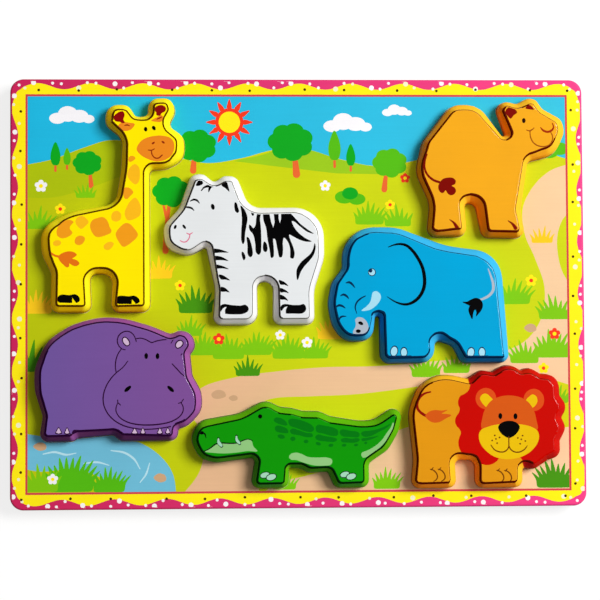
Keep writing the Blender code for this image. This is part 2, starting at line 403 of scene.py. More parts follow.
def curve(*numbers: float) -> np.ndarray:
    """An open smooth curve through x, y, x, y numbers, as a longer row of such numbers."""
    return eased(numbers, closed=False).ravel()


@dataclass(frozen=True)
class Mark:
    """An area of one ink inside a closed outline."""

    ink: Finish
    loop: np.ndarray


def patch(ink: Finish, *numbers: float) -> Mark:
    """An area with a smooth edge through its points, given as x, y, x, y numbers."""
    return Mark(ink, eased(numbers, closed=True))


def facet(ink: Finish, *numbers: float) -> Mark:
    """An area with straight sides between its points, given as x, y, x, y numbers."""
    return Mark(ink, np.reshape(np.array(numbers, float), (-1, 2)))


def spot(ink: Finish, x: float, y: float, wide: float, high: float | None = None,
         turn: float = 0.0, count: int = 24) -> Mark:
    """Print a round or oval spot.

    Args:
        ink: the finish.
        x: its middle along X.
        y: its middle along Y.
        wide: half its width.
        high: half its height, the same as its width if left out.
        turn: how far it leans anticlockwise, in degrees.
        count: how many points its edge has.

    Returns:
        The mark.
    """
    angles = np.linspace(0, 2 * math.pi, count, endpoint=False)
    flat = np.stack([wide * np.cos(angles), (high or wide) * np.sin(angles)], 1)
    c, s = math.cos(math.radians(turn)), math.sin(math.radians(turn))
    return Mark(ink, flat @ np.array([[c, s], [-s, c]]) + (x, y))


def spots(ink: Finish, *rows: Sequence[float], count: int = 24) -> list[Mark]:
    """Several spots of one ink, each given as a row of its numbers."""
    return [spot(ink, *row, count=count) for row in rows]


def brush(ink: Finish, widths: Sequence[float], *numbers: float) -> Mark:
    """Print a drawn line with round ends.

    Args:
        ink: the finish.
        widths: its width along the way, evenly spread over its points.
        *numbers: the points of its middle, as x, y, x, y.

    Returns:
        The mark.
    """
    middle = eased(numbers, closed=False, spacing=0.6)
    way = np.gradient(middle, axis=0)
    way /= np.linalg.norm(way, axis=1)[:, None].clip(1e-9)
    share = np.linspace(0, len(widths) - 1, len(middle))
    half = np.interp(share, np.arange(len(widths)), widths) / 2 + INK_SPREAD
    side = leftward(way) * half[:, None]
    turns = np.linspace(0, math.pi, 7)[1:-1, None]
    cap_end = middle[-1] - side[-1] * np.cos(turns) + way[-1] * half[-1] * np.sin(turns)
    cap_start = middle[0] + side[0] * np.cos(turns) - way[0] * half[0] * np.sin(turns)
    return Mark(ink, np.concatenate([middle - side, cap_end, (middle + side)[::-1], cap_start]))


def ring_mark(ink: Finish, outer: np.ndarray, inner: np.ndarray) -> Mark:
    """The area between two anticlockwise loops, joined by a cut of no width."""
    return Mark(ink, np.concatenate([outer, outer[:1], inner[::-1], inner[-1:]]))


def within(spots: np.ndarray, loop: np.ndarray) -> np.ndarray:
    """Find the points that a closed loop goes round.

    Args:
        spots: the points, in order of their Y.
        loop: the loop, which may cross itself.

    Returns:
        One truth value for each point.
    """
    first, last = np.searchsorted(spots[:, 1], (loop[:, 1].min(), loop[:, 1].max()))
    x, y = spots[first:last].T
    rounds = np.zeros(len(x), int)
    for (x0, y0), (x1, y1) in zip(loop, np.roll(loop, -1, 0)):
        low, high = np.searchsorted(y, sorted((y0, y1)))
        if low < high:
            crossing = x0 + (y[low:high] - y0) * (x1 - x0) / (y1 - y0)
            rounds[low:high] += (1 if y1 > y0 else -1) * (crossing > x[low:high])
    found = np.zeros(len(spots), bool)
    found[first:last] = rounds != 0
    return found


# Outlines and profiles

def wall_loops(node: str, height: float) -> list[np.ndarray]:
    """Read the outlines that the walls of a CAD solid have at one height.

    Args:
        node: the CAD node.
        height: where its walls end.

    Returns:
        Closed loops with the solid on their left hand, the longest first.
    """
    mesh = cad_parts[node].data
    spots = [tuple(round(c / MM, 4) for c in vertex.co) for vertex in mesh.vertices]
    after = {}
    for face in mesh.polygons:
        ring = [spots[i] for i in face.vertices]
        if min(z for _, _, z in ring) > height - LEVEL_TOLERANCE:
            continue
        for a, b in zip(ring, ring[1:] + ring[:1]):
            level = max(abs(a[2] - height), abs(b[2] - height)) < LEVEL_TOLERANCE
            if level and a[:2] != b[:2]:
                after[b[:2]] = a[:2]
    loops = []
    while after:
        first = next(iter(after))
        loop, here = [first], after.pop(first)
        while here != first:
            loop.append(here)
            here = after.pop(here)
        loops.append(np.array(loop))
    return sorted(loops, key=lambda loop: -np.ptp(loop, axis=0).sum())


def quarter(radius: float, count: int) -> Steps:
    """Steps of a rounded upper edge, each with how far below the top it is in place of its height."""
    return [(radius * (1 - math.cos(a)), radius * (1 - math.sin(a)))
            for a in np.linspace(0, math.pi / 2, count)]


def bent(start: np.ndarray, corner: np.ndarray, end: np.ndarray, count: int) -> Steps:
    """Steps of a rounded corner, from where the rounding begins to where it ends."""
    return [tuple((1 - t)**2 * start + 2 * t * (1 - t) * corner + t**2 * end)
            for t in np.linspace(0, 1, count + 1)]


@dataclass
class Outline:
    """Three closed outlines drawn through a CAD solid's corners: outer, inner and innermost.

    The curve passes through every corner, so it stays with the solid while its arcs look round.
    """

    corners: np.ndarray  # the CAD outline, with the wood on its left hand
    reach: float | np.ndarray  # how far in the inner outline lies, or how far at each corner
    lead: float = 0.0  # how far outside the corners the outer one lies
    beyond: float = 0.0  # how much further in than the inner one the innermost lies
    spacing: float = 1.6  # the longest step along it
    turn: float = 6.0  # the largest turn at one step, in degrees
    pull: float = 6.0  # how far a corner bends the curve at most

    def __post_init__(self) -> None:
        """Draw the outlines."""
        chords = np.roll(self.corners, -1, 0) - self.corners
        lengths = np.linalg.norm(chords, axis=1)[:, None]
        before, before_length = np.roll(chords, 1, 0), np.roll(lengths, 1, 0)
        # A straight stretch holds its direction against a short step of an arc next to it
        ways = before * before_length**2 + chords * lengths**2
        self._ways = ways / np.linalg.norm(ways, axis=1)[:, None]
        left = leftward(chords)
        left_before = np.roll(left, 1, 0)
        mitres = (left + left_before) / (1 + (left * left_before).sum(1))[:, None]
        turns = np.degrees(np.arccos((self._ways * np.roll(self._ways, -1, 0)).sum(1).clip(-1, 1)))
        self._counts = np.ceil(np.maximum(turns / self.turn, lengths[:, 0] / self.spacing)).clip(1)
        self.outer = self._drawn(self.corners - mitres * self.lead)
        reach = np.reshape(self.reach, (-1, 1))
        self.inner = self._drawn(self.corners + mitres * reach)
        self.innermost = self._drawn(self.corners + mitres * (reach + self.beyond))

    def _drawn(self, corners: np.ndarray) -> np.ndarray:
        """Draw the smooth curve through corners along the outline's own directions.

        Args:
            corners: the corners, or the corners moved inwards.

        Returns:
            Points along the curve, as many for each outline.
        """
        made = []
        for i, count in enumerate(self._counts):
            j = (i + 1) % len(corners)
            size = min(np.linalg.norm(corners[j] - corners[i]), self.pull)
            made.append(cubic(corners[i], size * self._ways[i], corners[j], size * self._ways[j],
                              int(count)))
        return np.concatenate(made)

    def at(self, share: float) -> np.ndarray:
        """Find the outline at a share of the way inwards.

        Args:
            share: 0 for the outer one, 1 for the inner and 2 for the innermost.

        Returns:
            Its points.
        """
        if share > 1:
            return self.inner + (self.innermost - self.inner) * (share - 1)
        return self.outer + (self.inner - self.outer) * share


def untangled(loop: np.ndarray, window: int = 30) -> np.ndarray:
    """Draw together the small loops that a deep inset leaves at tight corners.

    Args:
        loop: a closed outline.
        window: how many steps apart two of its steps may be that cross each other.

    Returns:
        The outline with as many points, where those of a small loop lie on its crossing.
    """
    made, count = loop.copy(), len(loop)
    for i in range(count):
        for j in range(i + window, i + 1, -1):
            crossing = intersect_line_line_2d(made[i], made[(i + 1) % count],
                                              made[j % count], made[(j + 1) % count])
            if crossing:
                made[[k % count for k in range(i + 1, j + 1)]] = crossing
                break
    return made


# Building meshes

@dataclass
class InkedFace:
    """A flat face divided into triangles of one ink each.

    Its edges are, for each fence and each step of it, the places of the points along that step.
    """

    fences: list[np.ndarray]  # the face's outline and its holes, with the face on their left hand
    ground: Finish  # the ink where no mark lies
    marks: Sequence[Mark] = ()  # the marks, the last on top

    def __post_init__(self) -> None:
        """Divide the face and find the points along each fence."""
        self.fences = [untangled(fence) for fence in self.fences]
        row, rings = [], []
        for loop in [*self.fences, *(mark.loop for mark in self.marks)]:
            rings.append(list(range(len(row), len(row) + len(loop))))
            row += [Vector(point) for point in loop]
        count = len(self.fences)
        links = [link for ring in rings[count:] for link in zip(ring, ring[1:] + ring[:1])]
        # The outline runs anticlockwise and the holes clockwise, which is turned round here
        areas = [rings[0], *(ring[::-1] for ring in rings[1:count])]
        spots, _, faces, origins, _, inside = delaunay_2d_cdt(row, links, areas, 0, MERGE)
        spots = np.array([tuple(spot) for spot in spots])
        middles = spots[np.array(faces)].mean(1)
        order = np.argsort(middles[:, 1])
        kept = np.array([list(inside[i]) == [0] for i in order])
        on_top = np.full(len(faces), -1)
        for place, mark in enumerate(self.marks):
            on_top[within(middles[order], mark.loop)] = place
        used, placed = np.unique(np.array([faces[i] for i in order[kept]]), return_inverse=True)
        self.spots = spots[used]
        self.faces = [tuple(face) for face in placed.reshape(-1, 3).tolist()]
        self.inks = [self.marks[place].ink if place >= 0 else self.ground for place in on_top[kept]]
        self._walk_fences([origins[i] for i in used])

    def _walk_fences(self, origins: list[list[int]]) -> None:
        """List the points along each step of each fence.

        Args:
            origins: for each point, the places of the input points that became it.
        """
        sides = {(a, b) for face in self.faces for a, b in zip(face, (*face[1:], face[0]))}
        after = {a: b for a, b in sides if (b, a) not in sides}
        became = {old: new for new, olds in enumerate(origins) for old in olds}
        self.edges, first = [], 0
        for fence in self.fences:
            steps = []
            for i in range(len(fence)):
                here, end = became[first + i], became[first + (i + 1) % len(fence)]
                step = [here]
                while here != end:
                    here = after.pop(here)
                    step.append(here)
                steps.append(step)
            self.edges.append(steps)
            first += len(fence)


@dataclass
class Shell:
    """A closed surface put together ring by ring."""

    name: str
    crease: float = 40.0  # edges that turn more than this many degrees stay crisp
    spots: list[tuple[float, float, float]] = field(default_factory=list)
    # Corners of each face, anticlockwise from outside, its finish, and whether it is a rounded one
    faces: list[tuple[Sequence[int], Finish, bool]] = field(default_factory=list)

    def profile(self, outline: Outline, steps: Steps,
                finish_at: Callable[[int, int], Finish]) -> tuple[range, range]:
        """Sweep a profile round an outline.

        Args:
            outline: the outline.
            steps: the rings from the bottom up, where how far in is a share of the way inwards.
            finish_at: gives the finish for a band between two rings and a step along it.

        Returns:
            The lowest and the highest ring.
        """
        rings = []
        for share, height in steps:
            loop = outline.at(share)
            rings.append(range(len(self.spots), len(self.spots) + len(loop)))
            self.spots += [(x, y, height) for x, y in loop]
        for band, (lower, upper) in enumerate(zip(rings, rings[1:])):
            for i, start in enumerate(lower):
                j = (i + 1) % len(lower)
                self.faces.append(((start, lower[j], upper[j], upper[i]), finish_at(band, i), True))
        return rings[0], rings[-1]

    def lid(self, face: InkedFace, height: float, rims: Sequence[range],
            rim_finishes: Sequence[Finish] = (), downwards: bool = False) -> None:
        """Close the top or the underside with a flat inked face.

        Args:
            face: the face.
            height: its height.
            rims: for each fence, the ring that a margin joins it to.
            rim_finishes: finish of that margin at each step, or the ink next to it if left out.
            downwards: whether it faces down.
        """
        first = len(self.spots)
        self.spots += [(x, y, height) for x, y in face.spots]
        turn = -1 if downwards else 1
        inks = {}
        for corners, ink in zip(face.faces, face.inks):
            self.faces.append(([first + c for c in corners][::turn], ink, False))
            for a, b in zip(corners, (*corners[1:], corners[0])):
                inks[a, b] = ink
        for ring, steps in zip(rims, face.edges):
            for i, step in enumerate(steps):
                finish = rim_finishes[i] if rim_finishes else inks[step[0], step[1]]
                corners = [ring[i], ring[(i + 1) % len(ring)], *(first + c for c in reversed(step))]
                self.faces.append((corners[::turn], finish, False))

    def build(self) -> bpy.types.Object:
        """Make the Blender object, with one material slot for each finish.

        Returns:
            The object.
        """
        corners, finishes, rounded = zip(*self.faces)
        mesh = bpy.data.meshes.new(self.name)
        mesh.from_pydata([[c * MM for c in spot] for spot in self.spots], [], corners)
        places = {finish: place for place, finish in enumerate(dict.fromkeys(finishes))}
        for finish in places:
            mesh.materials.append(finish.material())
        mesh.polygons.foreach_set("material_index", [places[finish] for finish in finishes])
        mesh.polygons.foreach_set("use_smooth", rounded)
        mesh.set_sharp_from_angle(angle=math.radians(self.crease))
        mesh.validate()
        mesh.update()
        return add_object(self.name, mesh)


# The animal blocks

@dataclass
class AnimalBlock:
    """One thick lift-out animal: a routed block with sprayed round edges and a raised printed face.

    The ground colour is printed a little to the right and up of the dark line under it, so the line
    shows wider on the lower left, where that extra width is also painted shade at the foot of the raised
    face. The edges were rounded by hand, so the sprayed edge's width varies.
    """

    node: str  # the CAD node that it stands for
    rim: Lacquer  # paint on its sides and round edges
    line: Lacquer  # the dark line printed round its face
    ground: Lacquer  # the ground colour of its face
    line_width: float = 0.95  # the dark line's width without the slip and its painted shade
    # How far the ground is printed off to the upper right; the line it leaves wider on the lower left is
    # partly painted shade
    slip_and_shade: tuple[float, float] = (0.3, 0.3)
    base: float = 3.3  # height of the underside
    wall_foot: float = 6.3  # where the lower round edge meets the wall
    wall_head: float = 18.2  # where the CAD wall meets the upper round edge
    ledge: float = 21.2  # height of the ledge round the printed face
    top: float = 22.0  # height of the printed face
    bevel_width: float = 3.0  # middling width of the sprayed slope between wall and ledge
    bevel_slope: float = 50.0  # how steep that slope is, in degrees
    shoulder: float = 1.8  # how far back from its corners the slope's rounding starts, below
    brow: float = 1.0  # and above
    ledge_width: float = 0.35  # of the ledge, printed dark: ink and painted shade of the step
    soften: float = 0.4  # rounding of the printed face's edge
    spread: float = 0.1  # how far the line's ink spread on the slope, and the ground's on it
    lower_margin: float = 0.04  # between the lower edge and the underside's triangles, as a share
    flat: float = 0.05  # the least width of the line on the flat of the face
    rims: tuple[float, ...] = (0.0, 0.0, 3.0)  # x, y and the slope's width, where it was measured
    blend: float = 6.0  # square millimetres over which the measured widths blend
    drawing: tuple[Mark, ...] = ()  # what is printed on the ground, the last on top

    def marks(self) -> list[Mark]:
        """All marks printed on the ground colour, the last on top."""
        return [*self.drawing]

    def inks_at(self, place: np.ndarray) -> tuple[Lacquer, Lacquer, Lacquer]:
        """The edge paint, line and ground colour at a place on the outline."""
        return self.rim, self.line, self.ground

    def widths(self, places: np.ndarray) -> np.ndarray:
        """Find how wide the sprayed edge is, from the places near by where it was measured.

        Args:
            places: places on the outline.

        Returns:
            Its width at each of them.
        """
        measured = np.reshape(self.rims, (-1, 3))
        away = ((places[:, None] - measured[None, :, :2])**2).sum(2)
        weights = 1 / (away + self.blend)**2
        return weights @ measured[:, 2] / weights.sum(1)

    def line_widths(self, loop: np.ndarray) -> np.ndarray:
        """How wide the slipped ground leaves the dark line, wider on the lower left as painted shade."""
        return self.line_width + leftward(np.roll(loop, -1, 0) - np.roll(loop, 1, 0)) @ self.slip_and_shade

    def steps(self) -> tuple[Steps, Steps]:
        """Lay out the block's profile, with how far in each step is as a share of the way inwards.

        Returns:
            Its steps up to the ledge, and those from there to the face.
        """
        angle = math.radians(self.bevel_slope)
        way = np.array((math.cos(angle), math.sin(angle)))
        brow = np.array((self.bevel_width, self.ledge))
        shoulder = brow - way * self.bevel_width / math.cos(angle)
        slope = [*((inset, self.base + rise) for rise, inset in quarter(self.wall_foot - self.base, 7)),
                 *bent(shoulder - (0, self.shoulder), shoulder, shoulder + self.shoulder * way, 7),
                 *bent(brow - self.brow * way, brow, brow, 4)]
        edge = [(0.0, self.ledge), *((inset, self.top - drop) for inset, drop in quarter(self.soften, 6))]
        step_width = self.ledge_width + self.soften
        return ([(inset / self.bevel_width, height) for inset, height in slope],
                [(1 + (self.ledge_width + inset) / step_width, height) for inset, height in edge])

    def build(self) -> bpy.types.Object:
        """Make the block, hide the CAD solid and put the block on its body.

        Returns:
            The finished piece.
        """
        step_width = self.ledge_width + self.soften
        slope, edge = self.steps()
        corners = wall_loops(self.node, self.wall_head)[0]
        widths = self.widths(corners) - self.spread
        outline = Outline(corners, reach=widths, beyond=step_width)
        rims, lines, grounds = zip(*map(self.inks_at, outline.outer))
        sunk = [replace(ink, name=ink.name + "_step", coating=Coating.SUNK) for ink in lines]
        # Where the ground colour slipped over the line, on the upper right, it covers the face's rounded
        # rim;
        # elsewhere the line's extra dark on the lower left is partly painted shade
        covered = self.line_widths(outline.outer) < step_width - self.spread
        margins = [ink if over else line for over, ink, line in zip(covered, grounds, lines)]
        pooled = [replace(ink, name=ink.name + "_edge", coating=Coating.POOLED) if over else line
                  for over, ink, line in zip(covered, grounds, sunk)]
        # Two bands of the line's colour lie on the ledge and on the wall above it, as ink and as painted
        # shade in the step
        bands = [rims] * (len(slope) - 1) + [sunk] * 2 + [pooled] * (len(edge) - 2)
        shell = Shell(self.node + "_block")
        lowest, highest = shell.profile(outline, slope + edge, lambda band, i: bands[band][i])
        line_widths = np.maximum(self.line_widths(corners), step_width + self.flat)
        printed = Outline(corners, reach=widths + line_widths).inner
        shell.lid(InkedFace([printed], self.ground, self.marks()), self.top, [highest], margins)
        underside = InkedFace([outline.at(slope[0][0] + self.lower_margin)], BARE_FACE)
        shell.lid(underside, self.base, [lowest], rims, downwards=True)
        piece = shell.build()
        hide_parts(self.node)
        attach(piece, self.node + "_block")
        return piece


@dataclass
class Giraffe(AnimalBlock):
    """The giraffe: yellow, with golden and orange patches, black hooves and a smiling muzzle."""

    node: str = "giraffe"
    rim: Lacquer = EdgePaint("giraffe_edge_paint", "#FFEC1E", painted_shade_colour="#FFC808")
    line: Lacquer = Lacquer("giraffe_line_print", "#563000")
    ground: Lacquer = Lacquer("giraffe_yellow_print", "#FFE600")
    orange: Lacquer = Lacquer("giraffe_orange_print", "#EE9A1A")
    golden: Lacquer = Lacquer("giraffe_golden_print", "#F7B81B")
    muzzle: Lacquer = Lacquer("giraffe_muzzle_print", "#E8861E")
    tail: Lacquer = Lacquer("giraffe_tail_print", "#E07014")
    horn: Lacquer = Lacquer("giraffe_horn_print", "#860A08")
    smile: Lacquer = Lacquer("giraffe_smile_print", "#8E2A08")
    slip_and_shade: tuple[float, float] = (0.25, 0.12)
    bevel_slope: float = 44.0
    rims: tuple[float, ...] = (-100, 92, 3.4, -92, 98, 2.8, -85, 92, 1.9, -78.5, 96, 2.5, -72, 101, 2.9,
        -65, 97, 2.9, -67, 88, 3.1, -60.5, 80, 3.5, -60.5, 71, 3.6, -70, 65, 2, -78.5, 58, 2.5,
        -78.5, -3, 2.6, -88, -10, 2.7, -97.5, -3, 1.8, -97.5, 7, 2.4, -104, 10, 2, -109, 3, 2.6,
        -118, -10, 2.7, -129.5, -3, 2.8, -129, 10, 2.8, -134, 25, 3.9, -131, 34, 3.5, -118, 42, 2.4,
        -100, 45, 1.9, -94, 52, 2.2, -92.5, 70, 2.4, -95, 84, 1.8)
    # Ears and horns, face, patches, tail and hooves
    drawing: tuple[Mark, ...] = (
        patch(muzzle, -93.8, 85.9, -91.2, 88.1, -88.4, 87.8, -85, 87.1, -86.9, 84.3, -90.2, 83.4,
            -92.8, 84.2),
        brush(smile, (0.3, 0.6, 0.3), -90.2, 86.3, -89.1, 86.6, -87.8, 86.2),
        patch(horn, -96, 90.6, -94.9, 88.5, -92.9, 88.2, -91.4, 87.5, -90, 87.9, -90.9, 89.3, -90.2, 91.8,
            -91, 93.6, -93.2, 93.3),
        patch(muzzle, -76.6, 88.8, -73.9, 90.4, -71.4, 91.7, -70, 90.4, -71.5, 88.3, -73.6, 88.2),
        brush(smile, (0.3, 0.6, 0.3), -73.6, 89.6, -72.4, 90.1, -71.2, 90.7),
        patch(horn, -74.9, 94.7, -73.9, 92.9, -73.9, 91.7, -71.8, 91.5, -71.2, 92.7, -69.4, 93.6, -69, 95.6,
            -71, 96.9, -73.6, 96.4),
        spot(BLACK, -79.4, 84.4, 0.9, 1.2, 6), spot(BLACK, -75.2, 85, 0.9, 1.25, 28),
        patch(muzzle, -84.1, 74, -81.6, 78.4, -76.6, 80.6, -70, 80.9, -66, 79.3, -64.6, 75.5, -66, 71,
            -69.5, 68.4, -74.2, 67.7, -79.2, 69.3, -82.5, 71.5),
        spot(smile, -75.5, 77.2, 0.95, 0.5, 35), spot(smile, -70.4, 77.6, 0.95, 0.5, -38),
        brush(smile, (0.3, 0.45, 0.3), -78.1, 73.6, -76.5, 73.4, -74.9, 74.2),
        brush(smile, (0.4, 0.45, 0.5, 0.5, 0.4), -76.5, 73.4, -76.1, 71.2, -74.6, 69.5, -72.8, 69.4,
            -70.9, 71),
        patch(orange, -88.4, 69, -87.3, 70.5, -85.4, 70.3, -84.7, 69.2, -86.1, 67.9, -87.9, 67.4),
        patch(golden, -88.9, 60.5, -87.9, 64, -85, 66.3, -83, 64.8, -82.4, 61, -83.1, 57, -84.6, 55.7,
            -87.2, 57.5),
        patch(orange, -90.7, 53.9, -88.2, 54.1, -86.6, 53, -85.8, 51.5, -87.3, 49.9, -89, 48.2, -90.4, 48.6,
            -91, 51),
        patch(golden, -90.3, 40.4, -89.3, 44, -87.1, 47.4, -84.9, 48.9, -83.1, 47, -81.9, 43.4, -82.6, 39.6,
            -86, 37.6, -88.7, 37.2),
        patch(golden, -97.2, 39, -96.4, 41.3, -94, 42.1, -92.2, 40.5, -92.5, 37.6, -94.6, 36.5,
            -96.7, 37.2),
        patch(golden, -115.6, 36.5, -114.7, 38.6, -112.2, 39.5, -110, 38.1, -108.8, 36.3, -110.9, 33.9,
            -112.6, 32.7, -114.5, 34.2),
        patch(orange, -108.1, 34.6, -106.8, 37.3, -104.2, 38.4, -101.6, 38.9, -99.4, 37.3, -98.1, 34,
            -97.1, 31.2, -100, 29.5, -104.7, 28.6, -107, 30.9),
        patch(orange, -94.9, 30.2, -92.7, 33.7, -90, 35.7, -88, 35.5, -85.5, 33.1, -83.5, 29.6, -85.9, 26.5,
            -91, 23.5, -93.1, 25.7),
        patch(orange, -125.3, 31, -124.2, 34.4, -121.5, 36.7, -118.6, 37.5, -116.5, 36.3, -118, 34.6,
            -118.5, 33, -117.1, 30.8, -119.4, 28.7, -122.6, 28, -124.7, 29.1),
        patch(orange, -116, 26.7, -115.2, 28.5, -112.8, 29.3, -110.7, 28.1, -111.6, 25.5, -113.6, 24.4,
            -115.5, 25),
        spot(golden, -125, 25.5, 2.1, 1.5, 10),
        patch(golden, -101.1, 24, -99.5, 25.6, -97.4, 26.1, -95.9, 25.3, -96.8, 23.3, -98.6, 21.9,
            -100.7, 22.4),
        brush(tail, (0.5, 0.7, 0.9, 1.1), -130.2, 23.6, -128.6, 20.9, -126.2, 19.1, -123.4, 18.4),
        patch(tail, -124.4, 18.5, -122.5, 20.2, -119.4, 21.2, -116.6, 20.9, -114.8, 19.4, -116.2, 18.2,
            -117.2, 17.5, -115, 16.7, -113.5, 15, -115, 13.6, -117.4, 14.1, -118.7, 15, -118.8, 13.5,
            -120, 12.9, -121.7, 14.3, -123.5, 16.2),
        patch(BLACK, -124.9, -3.6, -124.1, -1.6, -122.4, -1, -119, -1.3, -115.6, -0.9, -113.7, -2.3,
            -113.3, -4, -114.4, -5.1, -117.6, -5.4, -121, -5.3, -124.2, -5),
        facet(ground, -117.3, -5.6, -117.2, -2.7, -115.3, -5.4),
        patch(BLACK, -95.1, -4.2, -94.3, -2.4, -92.6, -1.7, -88.4, -2, -85.4, -1.7, -83.3, -3, -82.6, -4.6,
            -83.8, -5.8, -89.6, -6, -94.2, -5.7),
        facet(ground, -86.8, -6.2, -86.6, -3.6, -84.6, -6.1),
    )


